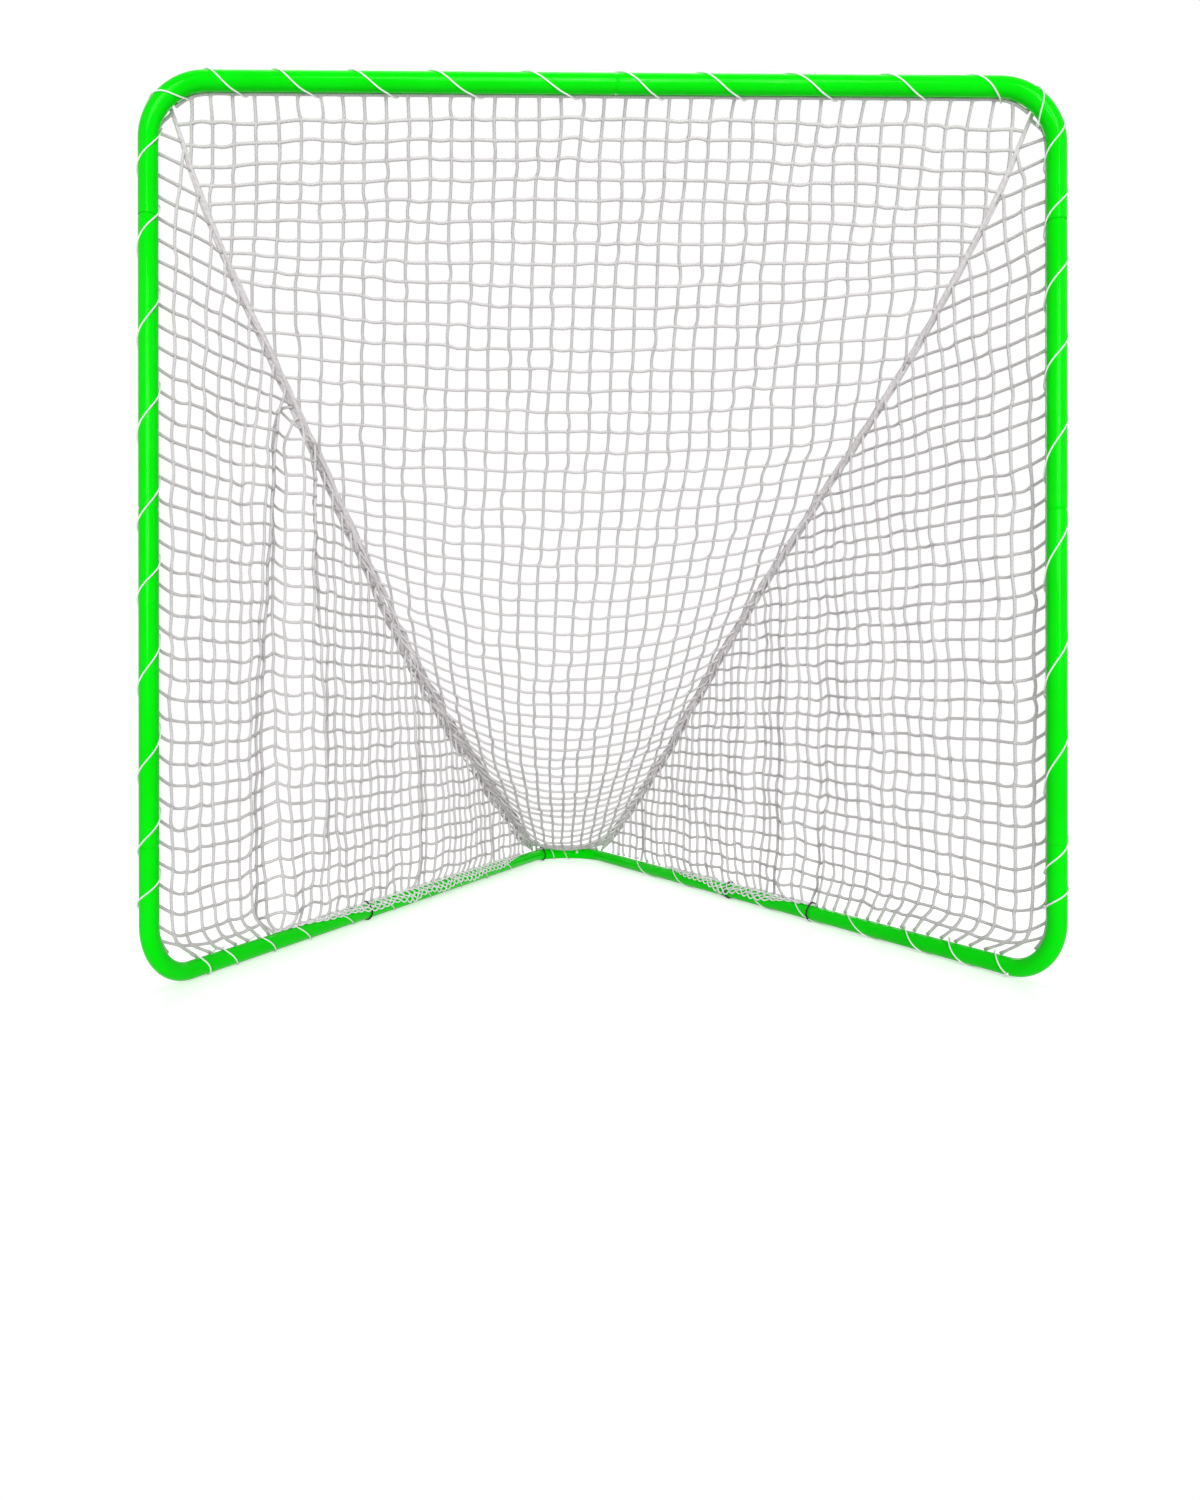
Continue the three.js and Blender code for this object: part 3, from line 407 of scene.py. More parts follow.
def frames_along(points, towards=None):
    """Directions square to a line of points: nearest to a given way, or else without a twist."""
    tangents = unit(np.gradient(points, axis=0))
    if towards is not None:
        firsts = unit(towards - (towards * tangents).sum(1, keepdims=True) * tangents)
        return firsts, np.cross(tangents, firsts)
    start = np.cross(tangents[0], (0.0, 0.0, 1.0))
    if np.linalg.norm(start) < LEAST_CROSS:
        start = np.cross(tangents[0], (1.0, 0.0, 0.0))
    firsts = np.zeros_like(points)
    firsts[0] = unit(start)
    for number in range(1, len(points)):
        carried = firsts[number - 1]
        carried = carried - (carried @ tangents[number]) * tangents[number]
        firsts[number] = carried / np.linalg.norm(carried)
    return firsts, np.cross(tangents, firsts)


class Cords:
    """Collects round cords, to make one mesh of them."""

    def __init__(self, sides):
        self.sides = sides
        self.vertices, self.faces, self.uvs = [], [], []
        self.count = 0

    def add(self, points, radius, towards=None):
        points = np.asarray(points, float)
        rows, sides = len(points), self.sides
        radius = np.broadcast_to(np.asarray(radius, float), (rows,))
        firsts, seconds = frames_along(points, towards)
        lengths = np.concatenate([[0], np.cumsum(np.linalg.norm(np.diff(points, axis=0), axis=1))])
        k = np.arange(sides)[None, :]
        after = (k + 1) % sides
        across = np.stack([k / sides, (k + 1) / sides, (k + 1) / sides, k / sides], axis=-1)
        up = np.stack([lengths[:-1], lengths[:-1], lengths[1:], lengths[1:]], axis=-1)[:, None]
        shape = (rows - 1, sides, 4)
        uvs = np.stack([np.broadcast_to(pattern, shape) for pattern in (across, up)], axis=-1)
        self.vertices.append(ring_vertices(points, firsts, seconds, radius, sides))
        self.faces.append(ring_faces(rows, sides) + self.count)
        self.uvs.append(uvs.reshape(-1, 2))
        # A fan to a tip closes each end
        for number, row, edge in ((0, 0, (after, k)), (1, rows - 1, (k, after))):
            tip = np.full_like(k, rows * sides + number)
            fan = np.stack([row * sides + edge[0], row * sides + edge[1], tip, tip], axis=-1)
            self.faces.append(fan.reshape(-1, 4) + self.count)
            self.uvs.append(np.zeros((sides * 4, 2)) + [0.0, lengths[row]])
        self.vertices.append([
            points[0] - TIP_SHARE * radius[0] * unit(points[1] - points[0]),
            points[-1] + TIP_SHARE * radius[-1] * unit(points[-1] - points[-2]),
        ])
        self.count += rows * sides + 2

    def build(self, name, material):
        vertices, faces, uvs = (np.concatenate(parts) for parts in (self.vertices, self.faces, self.uvs))
        return mesh_object(name, vertices, faces, material, uvs)


def smooth_line(points, steps):
    """A smooth line through points, with a number of steps between each two."""
    points = np.asarray(points, float)
    padded = np.concatenate([[2 * points[0] - points[1]], points, [2 * points[-1] - points[-2]]])
    p0, p1, p2, p3 = (padded[k:len(padded) - 3 + k][:, None] for k in range(4))
    t = (np.arange(steps)[:, None] / steps)[None]
    line = 0.5 * (2 * p1 + (p2 - p0) * t + (2 * p0 - 5 * p1 + 4 * p2 - p3) * t ** 2
                  + (3 * p1 - p0 - 3 * p2 + p3) * t ** 3)
    return np.concatenate([line.reshape(-1, points.shape[1]), points[-1:]])


# Tubes
def bend_distances(start, end):
    """Distances along a tube: few on straight stretches, many on bends."""
    marks = [start, end]
    for stretch, after in zip(route.stretches, route.stretches[1:] + [{"start": route.length}]):
        first, last = max(stretch["start"], start), min(after["start"], end)
        if first < last:
            steps = max(1, round((last - first) / BEND_STEP)) if "axis" in stretch else 1
            marks.extend(np.linspace(first, last, steps + 1))
    return np.unique(np.round(marks, DISTANCE_DIGITS))


def tube_end(at, tip, is_start):
    """Distances and radii of a tube's end, outside and inside. The swaged end points the way of the tip."""
    if (tip < 0) == is_start:
        neck = SWAGE_RADIUS - TUBE_WALL
        rim = SWAGE_INSERT - RIM_ROUNDING
        outer = [
            (-(SHOULDER_GAP + SWAGE_TAPER * 1.25), TUBE_RADIUS),
            (-(SHOULDER_GAP + SWAGE_TAPER), TUBE_RADIUS - SHOULDER_ROUNDING),
            (-(SHOULDER_GAP + SWAGE_TAPER / 2), (TUBE_RADIUS + SWAGE_RADIUS) / 2),
            (-SHOULDER_GAP, SWAGE_RADIUS + NECK_ROUNDING),
            (SWAGE_TAPER / 4, SWAGE_RADIUS),
            (rim, SWAGE_RADIUS),
            (SWAGE_INSERT, SWAGE_RADIUS - RIM_ROUNDING),
        ]
        inner = [
            (-(SHOULDER_GAP + SWAGE_TAPER), BORE_RADIUS),
            (-SHOULDER_GAP, neck),
            (rim, neck),
            (SWAGE_INSERT, neck + RIM_ROUNDING),
        ]
    else:
        outer = [(RIM_ROUNDING, TUBE_RADIUS), (0, TUBE_RADIUS - RIM_ROUNDING)]
        inner = [(RIM_ROUNDING, BORE_RADIUS), (0, BORE_RADIUS + RIM_ROUNDING)]
    order = -1 if is_start else 1
    return tuple(
        [(at + tip * offset, radius) for offset, radius in line[::order]]
        for line in (outer, inner)
    )


def tube_piece(name, first, second):
    start, start_tip, start_angle = joints[first]
    end, end_tip, end_angle = joints[second]
    if end < start:
        end += route.length
    outer, inner = tube_end(start, start_tip, True)
    end_outer, end_inner = tube_end(end, end_tip, False)
    middle = bend_distances(start, end)
    middle = middle[(middle > outer[-1][0] + MM) & (middle < min(at for at, _ in end_outer) - MM)]
    outer += [(at, TUBE_RADIUS) for at in middle] + end_outer
    inner += [(at, BORE_RADIUS) for at in middle] + end_inner
    profile = np.array(outer + inner[::-1])
    points, _, facing, across = route.at(profile[:, 0])
    vertices = ring_vertices(points, facing, across, profile[:, 1], TUBE_SIDES, start=0.5)
    faces = ring_faces(len(profile), TUBE_SIDES, closed=True)
    piece = mesh_object(f"{name}_painted", vertices, faces, PAINT)
    cut_hole(piece, start + start_tip * BUTTON_SETBACK, start_angle)
    cut_hole(piece, end + end_tip * BUTTON_SETBACK, end_angle)
    piece.data.shade_smooth()
    piece.data.set_sharp_from_angle(angle=SHARP_ANGLE)
    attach(piece, "root")
    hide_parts(name)


def placed(distance, angle):
    """The place of a button: its axis is local Z."""
    out = route.direction(distance, angle)[0]
    along = route.at(distance)[1][0]
    columns = (np.cross(out, along), along, out, route.point(distance))
    return Matrix((*zip(*columns), (0, 0, 0, 1)))


def turned_body(name, outline, sides, material):
    """A body turned about local Z. Its outline of radius and height pairs starts and ends there."""
    angles = np.arange(sides) * 2 * math.pi / sides
    vertices, faces = [(0, 0, outline[0][1])], []
    for radius, height in outline[1:-1]:
        vertices += [(radius * math.cos(a), radius * math.sin(a), height) for a in angles]
    vertices.append((0, 0, outline[-1][1]))
    last = len(vertices) - 1
    end = last - sides
    for k in range(sides):
        after = (k + 1) % sides
        faces.append((0, 1 + after, 1 + k, 1 + k))
        for ring in range(1, end, sides):
            faces.append((ring + k, ring + after, ring + sides + after, ring + sides + k))
        faces.append((end + k, end + after, last, last))
    return mesh_object(name, vertices, faces, material)


def cut_hole(piece, distance, angle):
    radius = BUTTON_HOLE_RADIUS
    outline = [(0, HOLE_LOW), (radius, HOLE_LOW), (radius, HOLE_HIGH), (0, HOLE_HIGH)]
    cutter = turned_body("hole", outline, HOLE_SIDES, PAINT)
    cutter.matrix_world = placed(distance, angle)
    cut = piece.modifiers.new("hole", "BOOLEAN")
    cut.operation = "DIFFERENCE"
    cut.solver = "EXACT"
    cut.object = cutter
    bpy.context.view_layer.update()
    graph = bpy.context.evaluated_depsgraph_get()
    result = bpy.data.meshes.new_from_object(piece.evaluated_get(graph))
    spent = [cutter.data, piece.data]
    piece.modifiers.clear()
    piece.data = result
    result.name = piece.name
    bpy.data.objects.remove(cutter)
    for mesh in spent:
        bpy.data.meshes.remove(mesh)


# Tubes in the order of the route, each between two joints
left_kinds = ("top_corner", "upper_post", "lower_post", "bottom_corner", "base_leg")
left_tubes = [f"{kind}_tube" for kind in left_kinds]
left_ends = [name for name, *_ in left_joints]


def both_sides(names, *middle):
    """Names down the left side, then those in the middle, then up the right side."""
    return [*(f"{name}_left" for name in names), *middle, *(f"{name}_right" for name in names[::-1])]


ends = ["crossbar", *both_sides(left_ends), "crossbar"]
for name, first, second in zip(both_sides(left_tubes, "rear_bend_tube"), ends, ends[1:]):
    tube_piece(name, first, second)


# Leaf springs inside the swaged ends: a strip from the toe under the button round the bend to the foot
def spring_piece(joint, place, tip):
    angles = np.linspace(math.pi / 2, 3 * math.pi / 2, SPRING_STEPS + 1)
    bend = np.stack([-SPRING_LENGTH + SPRING_BEND * np.cos(angles), SPRING_BEND * np.sin(angles)], axis=1)
    line = np.concatenate([
        [(SPRING_TOE, SPRING_HIGH)],
        np.linspace((-SPRING_SEAT, SPRING_HIGH), bend[0], SPRING_STEPS, endpoint=False),
        bend,
        np.linspace(bend[-1], (SPRING_SEAT, SPRING_LOW), SPRING_STEPS)[1:],
    ])
    ways = unit(np.gradient(line, axis=0))
    normals = np.stack([-ways[:, 1], ways[:, 0]], axis=1) * SPRING_THICKNESS / 2
    corners = []
    for side, offset in ((1, 1), (1, -1), (-1, -1), (-1, 1)):
        edge = line + normals * offset
        corners.append(np.column_stack([np.full(len(line), side * SPRING_WIDTH / 2), edge]))
    vertices = np.stack(corners, axis=1).reshape(-1, 3) * (tip, tip, 1)
    turn = np.array(place)
    vertices = vertices @ turn[:3, :3].T + turn[:3, 3]
    # The corners run the other way round than those of a ring
    walls = ring_faces(len(line), 4)[:, [0, 3, 2, 1]]
    last = len(vertices) - 1
    ends = [(0, 1, 2, 3), (last, last - 1, last - 2, last - 3)]
    piece = mesh_object(f"spring_clip_{joint}_leaf", vertices, np.concatenate([walls, ends]), SPRING_STEEL)
    piece.data.set_sharp_from_angle(angle=SHARP_ANGLE)
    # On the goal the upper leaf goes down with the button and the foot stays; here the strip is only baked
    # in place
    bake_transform(piece)
    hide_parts(f"spring_clip_{joint}")


# Snap buttons: a domed pin with a flange inside the bore
top = TUBE_RADIUS + BUTTON_PROUD
dome = [
    (BUTTON_RADIUS * math.cos(a), top - DOME_HEIGHT + DOME_HEIGHT * math.sin(a))
    for a in np.linspace(0, DOME_ANGLE, DOME_STEPS)
]
button_outline = [
    (0, BUTTON_SEAT - BUTTON_FLANGE_THICKNESS),
    (BUTTON_FLANGE_RADIUS, BUTTON_SEAT - BUTTON_FLANGE_THICKNESS),
    (BUTTON_FLANGE_RADIUS, BUTTON_SEAT),
    (BUTTON_RADIUS, BUTTON_SEAT),
    *dome,
    (0, top),
]
for name, (distance, tip, angle) in joints.items():
    body = f"snap_button_{name}"
    place = placed(distance + tip * BUTTON_SETBACK, angle)
    piece = turned_body(f"{body}_turned", button_outline, BUTTON_SIDES, BUTTON_STEEL)
    piece.data.transform(place)
    piece.data.set_sharp_from_angle(angle=BUTTON_SHARP_ANGLE)
    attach(piece, body)
    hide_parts(body)
    spring_piece(name, place, tip)


# Lacing: wound round the tubes, over the border of the net. How it keeps off the buttons, steps over
# the net and wavers, how many turns it makes past its first and last pass, and the size of its knots
TURN_STEPS = 28
BUTTON_GAP = 9 * MM
BUTTON_GAP_TURNS = 0.3
LACE_AXIS_RADIUS = TUBE_RADIUS + LACE_CLEARANCE + LACE_RADIUS
STEP_OVER_NET = 2 * NET_CORD_RADIUS + 0.6 * MM
STEP_OVER_ANGLE = 0.42
LACE_WOBBLE = 1 * MM
WOBBLE_RATE = 9.1
WOBBLE_PHASE = 40
CORNER_WRAP = 88 * MM
END_TURNS = 0.3
POST_TOP_TURNS = 0.45
LEG_END_TURNS = 0.2
KNOT_TURNS = 2.2
KNOT_STEPS = 40
KNOT_CORD_SHARE = 0.9
KNOT_HEIGHT = 1.2 * MM
KNOT_RISE, KNOT_RISE_RATE = 1.6 * MM, 0.73
KNOT_RUN = 3.1 * MM
KNOT_SWING, KNOT_SWING_RATE = 3.4 * MM, 1.31
LACE_FLOOR_GAP = 0.1 * MM


def winding(name, fronts, front_angle, net_angle, start_turns, end_turns):
    """A cord wound along the route. Fronts are the distances at which it passes the front angle."""
    fronts = np.asarray(fronts, float)
    count = len(fronts)
    ends = np.concatenate([[2 * fronts[0] - fronts[1]], fronts, [2 * fronts[-1] - fronts[-2]]])
    fine = smooth_line(np.stack([np.arange(-1, count + 1), ends], axis=1), TURN_STEPS)
    for distance, tip, button_angle in joints.values():
        # The line keeps clear of snap buttons
        turn = (button_angle - front_angle) / (2 * math.pi)
        for lap in (-1, 0, 1):
            at = distance + tip * BUTTON_SETBACK + lap * route.length
            passes = np.arange(-2, count + 2) + turn
            for here, pass_turn in zip(np.interp(passes, fine[:, 0], fine[:, 1]), passes):
                gap = here - at
                if abs(gap) < BUTTON_GAP:
                    fade = np.exp(-((fine[:, 0] - pass_turn) / BUTTON_GAP_TURNS) ** 2)
                    fine[:, 1] += fade * (math.copysign(BUTTON_GAP, gap) - gap)
    samples = np.arange(-start_turns, count - 1 + end_turns, 1 / TURN_STEPS)
    angles = front_angle + samples * 2 * math.pi
    away = np.abs((angles - net_angle + math.pi) % (2 * math.pi) - math.pi)
    height = LACE_AXIS_RADIUS + STEP_OVER_NET * np.exp(-(away / STEP_OVER_ANGLE) ** 2)
    wobble = LACE_WOBBLE * np.sin(samples * WOBBLE_RATE + fronts[0] * WOBBLE_PHASE)
    distances = np.interp(samples, fine[:, 0], fine[:, 1])
    line = route.beside(distances + wobble, angles, height)
    cords = Cords(ROUND_SIDES)
    cords.add(line, LACE_RADIUS, route.direction(distances, angles))
    # A knot at each end
    swirl = np.linspace(0, KNOT_TURNS * 2 * math.pi, KNOT_STEPS)[:, None]
    rise = KNOT_HEIGHT + KNOT_RISE * np.sin(swirl * KNOT_RISE_RATE)
    run = KNOT_RUN * np.cos(swirl)
    swing = KNOT_SWING * np.sin(swirl * KNOT_SWING_RATE)
    for end in (0, -1):
        out = route.direction(distances[end], angles[end])[0]
        along = route.at(distances[end])[1][0]
        knot = line[end] + out * rise + along * run + np.cross(out, along) * swing
        cords.add(knot, LACE_RADIUS * KNOT_CORD_SHARE)
    piece = cords.build(f"{name}_cord", LACE)
    keep_above_floor(piece, LACE_FLOOR_GAP)
    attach(piece, "root")
    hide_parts(name)


# Where the lacing passes the front of crossbar and posts, from the photograph
CROSSBAR_FRONTS = np.array([-757, -622, -470, -312, -124, 57, 215, 393, 581, 749]) * MM
POST_FRONTS_LEFT = np.array([1643.6, 1492, 1314.8, 1129.7, 948.5, 804.8, 633.5, 456.3, 306.6, 200]) * MM
POST_FRONTS_RIGHT = np.array([188.5, 273.1, 475.9, 666.9, 893.3, 1100.1, 1267.5, 1421, 1558.9, 1690.8]) * MM
# Where it passes the inner side of the legs, from the axis of the post
LEG_PASSES_LEFT = np.array([0.145, 0.225, 0.357, 0.488, 0.67, 0.88, 1.09, 1.30, 1.49, 1.68])
LEG_PASSES_RIGHT = np.array([0.131, 0.257, 0.385, 0.578, 0.789, 0.992, 1.198, 1.412, 1.645])
LEG_SEEN_ANGLE = LEG_ANGLE + math.radians(60)
# And the rear bend, in twelfths of its length
REAR_PASSES = np.array([3.35, 5.35, 7.35]) / 12

corner_wrap = HALF_CROSSBAR + CORNER_WRAP
post_start = POST_TOP + TOP_AXIS_HEIGHT - CORNER_BEND_RADIUS
leg_start = LEG_FRONT - CORNER_BEND_RADIUS
crossbar_fronts = [-corner_wrap, *(-CROSSBAR_FRONTS[::-1]), corner_wrap]
right_post_fronts = route.length - (post_start - POST_FRONTS_RIGHT)
right_leg_fronts = (route.length - leg_start - LEG_PASSES_RIGHT)[::-1]
left_post_fronts = post_start - POST_FRONTS_LEFT
rear_fronts = LEG_REAR + REAR_PASSES * REAR_LENGTH
leg_turns = (LEG_END_TURNS, LEG_END_TURNS)
winding("lacing_crossbar", crossbar_fronts, math.pi, NET_TOP_ANGLE, END_TURNS, END_TURNS)
winding("lacing_post_left", left_post_fronts, math.pi, LEG_ANGLE, POST_TOP_TURNS, END_TURNS)
winding("lacing_post_right", right_post_fronts, math.pi, LEG_ANGLE, END_TURNS, POST_TOP_TURNS)
winding("lacing_leg_left", leg_start + LEG_PASSES_LEFT, LEG_SEEN_ANGLE, LEG_ANGLE, *leg_turns)
winding("lacing_leg_right", right_leg_fronts, LEG_SEEN_ANGLE, LEG_ANGLE, *leg_turns)
winding("lacing_rear", rear_fronts, LEG_ANGLE, LEG_ANGLE, *leg_turns)

# Ridge ropes: how far each hangs below a straight line, at shares of its run, from the photograph
RIDGE_SAGS = {
    -1: np.array([
        (0, 0), (0.08, 81 * MM), (0.22, 107 * MM), (0.35, 140 * MM), (0.54, 166 * MM), (0.72, 119 * MM),
        (0.88, 52 * MM), (1, 0),
    ]),
    1: np.array([
        (0, 0), (0.06, 58 * MM), (0.14, 80 * MM), (0.23, 80 * MM), (0.34, 58 * MM), (0.51, 32 * MM),
        (0.65, 36 * MM), (0.78, 46 * MM), (0.9, 26 * MM), (1, 0),
    ]),
}
RIDGE_STEPS = 12
RIDGE_POINTS = 161
ridge_lift = TUBE_RADIUS + NET_CLEARANCE + RIDGE_RADIUS
corner_point = route.point(HALF_CROSSBAR + QUARTER_BEND / 2)
tail_point = route.point(LEG_REAR)


def ridge_line(side):
    top_end = np.array([side * abs(corner_point[0]), corner_point[1] + ridge_lift, corner_point[2]])
    tail_end = np.array([side * abs(tail_point[0]), tail_point[1], tail_point[2] + ridge_lift])
    run = np.linspace(0, 1, RIDGE_POINTS)
    curve = smooth_line(RIDGE_SAGS[side], RIDGE_STEPS)
    line = top_end + (tail_end - top_end) * run[:, None]
    line[:, 2] -= np.interp(run, curve[:, 0], curve[:, 1])
    return line


def along_line(line, shares):
    """Points of a line at shares of its level run."""
    run = np.linspace(0, 1, len(line))
    return np.stack([np.interp(shares, run, line[:, k]) for k in range(3)], axis=-1)


ridges = {side: ridge_line(side) for side in SIDES}

# Net: nodes joined by bars that pull when taut and push a little when folded, hung under their weight
leg_axes = [
    (route.point(LEG_FRONT), route.point(LEG_REAR)),
    (route.point(route.length - LEG_FRONT), route.point(route.length - LEG_REAR)),
]

STIFF_SHARE = 0.86
STIFF_STRENGTH = 0.25
SHORTEST_BAR = 0.45
SHORT_STRENGTH = 0.3
PULLS_A_STEP = 2
TINY = 1e-9
RUMPLE_WAVES = (0.09, 0.13, 0.21)


class Weave:
    """Strands that cross at nodes."""

    def __init__(self):
        self.points, self.fixed, self.strands = [], [], []
        self.rests = {}

    def node(self, point, fixed=False):
        self.points.append(np.asarray(point, float))
        self.fixed.append(fixed)
        return len(self.points) - 1

    def strand(self, nodes, looseness, places=None):
        """A strand through nodes, with rest lengths from its flat places, or else from the nodes."""
        self.strands.append(nodes)
        for number, (a, b) in enumerate(zip(nodes, nodes[1:])):
            if places is None:
                length = np.linalg.norm(self.points[b] - self.points[a])
            else:
                length = places[number + 1] - places[number]
            self.rests[(a, b)] = length * looseness

    def coloured(self, pairs):
        """Groups of pairs that share no node."""
        used, colours = {}, []
        for a, b in pairs:
            taken = used.setdefault(a, set()) | used.setdefault(b, set())
            colour = min(set(range(len(taken) + 1)) - taken)
            used[a].add(colour)
            used[b].add(colour)
            colours.append(colour)
        colours = np.array(colours)
        return [np.flatnonzero(colours == c) for c in range(colours.max() + 1)]

    def settle(self, steps, gravity, bounce):
        """Lets the free nodes hang under gravity, with a share of their speed kept from step to step."""
        points = np.array(self.points)
        free = ~np.array(self.fixed)
        pairs = np.array(list(self.rests))
        rests = np.array(list(self.rests.values()))
        seconds, spans = [], []
        for nodes in self.strands:
            for a, m, b in zip(nodes, nodes[1:], nodes[2:]):
                seconds.append((a, b))
                spans.append(self.rests[(a, m)] + self.rests[(m, b)])
        seconds, spans = np.array(seconds), np.array(spans)
        groups = self.coloured(pairs)
        bends = self.coloured(seconds)
        weight = free.astype(float)
        last = points.copy()
        for _ in range(steps):
            drift = (points - last) * bounce
            last = points.copy()
            points = points + drift * free[:, None]
            points[free, 2] -= gravity
            for group in bends:
                self.push(points, weight, seconds[group], spans[group] * STIFF_SHARE)
            for _ in range(PULLS_A_STEP):
                for group in groups:
                    self.pull(points, weight, pairs[group], rests[group])
            self.keep_clear(points, free)
        self.settled = points

    def pull(self, points, weight, pairs, rests):
        length = np.linalg.norm(points[pairs[:, 1]] - points[pairs[:, 0]], axis=1)
        short = np.maximum(SHORTEST_BAR * rests - length, 0)
        self.shift(points, weight, pairs, length, np.maximum(length - rests, 0) - short * SHORT_STRENGTH)

    def push(self, points, weight, pairs, spans):
        length = np.linalg.norm(points[pairs[:, 1]] - points[pairs[:, 0]], axis=1)
        self.shift(points, weight, pairs, length, -np.maximum(spans - length, 0) * STIFF_STRENGTH)

    def shift(self, points, weight, pairs, length, amount):
        """Brings the nodes of each pair nearer by an amount."""
        a, b = pairs[:, 0], pairs[:, 1]
        gap = points[b] - points[a]
        share = amount / np.maximum(weight[a] + weight[b], TINY) / np.maximum(length, TINY)
        points[a] += gap * (share * weight[a])[:, None]
        points[b] -= gap * (share * weight[b])[:, None]

    def keep_clear(self, points, free):
        """Above the floor and outside the legs."""
        points[free, 2] = np.maximum(points[free, 2], NET_CORD_RADIUS + NET_FLOAT)
        clear = TUBE_RADIUS + NET_CORD_RADIUS + NET_FLOAT
        for start, end in leg_axes:
            arm = end - start
            share = np.clip(((points - start) @ arm) / (arm @ arm), 0, 1)
            out = points - (start + share[:, None] * arm)
            length = np.linalg.norm(out, axis=1)
            near = free & (length < clear)
            if near.any():
                lift = (clear - length[near]) / np.maximum(length[near], TINY)
                points[near] += out[near] * lift[:, None]

    def rumple(self, size):
        """Moves the free nodes a little, in step with their neighbours."""
        free = ~np.array(self.fixed)
        shift = np.zeros_like(self.settled)
        for wave in RUMPLE_WAVES:
            for axis in range(3):
                way = unit(rng.normal(0, 1, 3)) * 2 * math.pi / wave
                shift[:, axis] += np.sin(self.settled @ way + rng.uniform(0, 2 * math.pi)) * wave
        shift *= size / np.abs(shift).max()
        self.settled[free] += shift[free]
        self.keep_clear(self.settled, free)


# Back panel: at the rows named, its half width in columns, and where its edges meet the ridges
BACK_ROWS = 54
BACK_MARKS = np.array([0, 10, 17, 25, 31, 38, 49, 54], float)
BACK_HALF_COLUMNS = np.array([20, 16.7, 13.4, 11, 9.7, 8.2, 6.6, 5])
BACK_RIDGE_SHARES = {
    -1: np.array([0, 0.105, 0.255, 0.39, 0.5, 0.635, 0.85, 1]),
    1: np.array([0, 0.11, 0.265, 0.455, 0.59, 0.735, 0.91, 1]),
}
# The middle column at every fifth row and the last: how far behind the mouth it is, and how high
BACK_PROFILE_ROWS = np.array([*range(0, 51, 5), BACK_ROWS], float)
BACK_PROFILE = np.array([
    (20, 1775), (156, 1640), (304, 1471), (458, 1279), (609, 1071), (753, 856),
    (895, 647), (1057, 474), (1261, 326), (1476, 199), (1714, 66), (1875, 45),
]) * MM
BACK_PROFILE_STEPS = 20
BACK_PROFILE_FINE = smooth_line(np.column_stack([BACK_PROFILE_ROWS, BACK_PROFILE]), BACK_PROFILE_STEPS)
BACK_BELLY_POWER = 2.2
BACK_LOOSENESS = 0.012
BACK_RUMPLE = 3.5 * MM
BACK_FINE_STEPS = 2000
CROSSBAR_NET_GAPS = 40
CROSSBAR_NET_PITCH = 43.3 * MM
# How near a strand may end to the ridge, in columns and in rows
LEAST_COLUMN_END = 0.3
LEAST_ROW_TAIL = 0.15


def back_half(row):
    return np.interp(row, BACK_MARKS, BACK_HALF_COLUMNS)


def back_edge(side, row):
    return along_line(ridges[side], np.interp(row, BACK_MARKS, BACK_RIDGE_SHARES[side]))


def back_guess(column, row):
    """Where a node of the back panel starts from."""
    share = (column / back_half(row) + 1) / 2
    left, right = back_edge(-1, row), back_edge(1, row)
    point = left + (right - left) * share
    middle = np.array([np.interp(row, BACK_PROFILE_FINE[:, 0], BACK_PROFILE_FINE[:, k]) for k in (1, 2)])
    belly = 1 - abs(2 * share - 1) ** BACK_BELLY_POWER
    point[1:] += (middle - (REAR_SHIFT, 0) - point[1:]) * belly
    return point


def back_panel():
    weave = Weave()
    columns = range(-CROSSBAR_NET_GAPS // 2, CROSSBAR_NET_GAPS // 2 + 1)
    down = {column: [] for column in columns}
    for row in range(BACK_ROWS + 1):
        width = back_half(row)
        line = []
        for column in columns:
            if row == 0:
                point = route.beside(-column * CROSSBAR_NET_PITCH, NET_TOP_ANGLE, BORDER_OFFSET)[0]
            elif abs(column) > width - LEAST_COLUMN_END:
                continue
            elif row == BACK_ROWS:
                share = (column / width + 1) / 2
                point = route.beside(LEG_REAR + share * REAR_LENGTH, LEG_ANGLE, BORDER_OFFSET)[0]
            else:
                point = back_guess(column, row)
            node = weave.node(point, row in (0, BACK_ROWS))
            down[column].append((row, node))
            line.append(node)
        if row not in (0, BACK_ROWS):
            line = [weave.node(back_edge(-1, row), True), *line, weave.node(back_edge(1, row), True)]
        weave.strand(line, 1 + rng.uniform(0, BACK_LOOSENESS) * (row > 0))
    rows_fine = np.linspace(0, BACK_ROWS, BACK_FINE_STEPS)
    for column in columns:
        nodes = [node for _, node in down[column]]
        last_row = down[column][-1][0]
        if BACK_HALF_COLUMNS[-1] < abs(column) < CROSSBAR_NET_GAPS // 2:
            row = float(np.interp(-abs(column), -back_half(rows_fine), rows_fine))
            if row > last_row + LEAST_ROW_TAIL:
                nodes.append(weave.node(back_edge(-1 if column < 0 else 1, row), True))
        if len(nodes) > 1:
            weave.strand(nodes, 1 + rng.uniform(0, BACK_LOOSENESS))
    weave.settle(steps=60, gravity=1e-6, bounce=0.9)
    weave.rumple(BACK_RUMPLE)
    return weave


# Cords of the net: swollen at the knots, bowed where slack, and fuller towards the rear
STRAND_STEPS = 4
KNOT_SWELL = 1.25
BOW_SHARE = 0.375
MOST_BOW = 0.1
BOW_DOWN = 1.2
SLACK_SWELL = 0.28


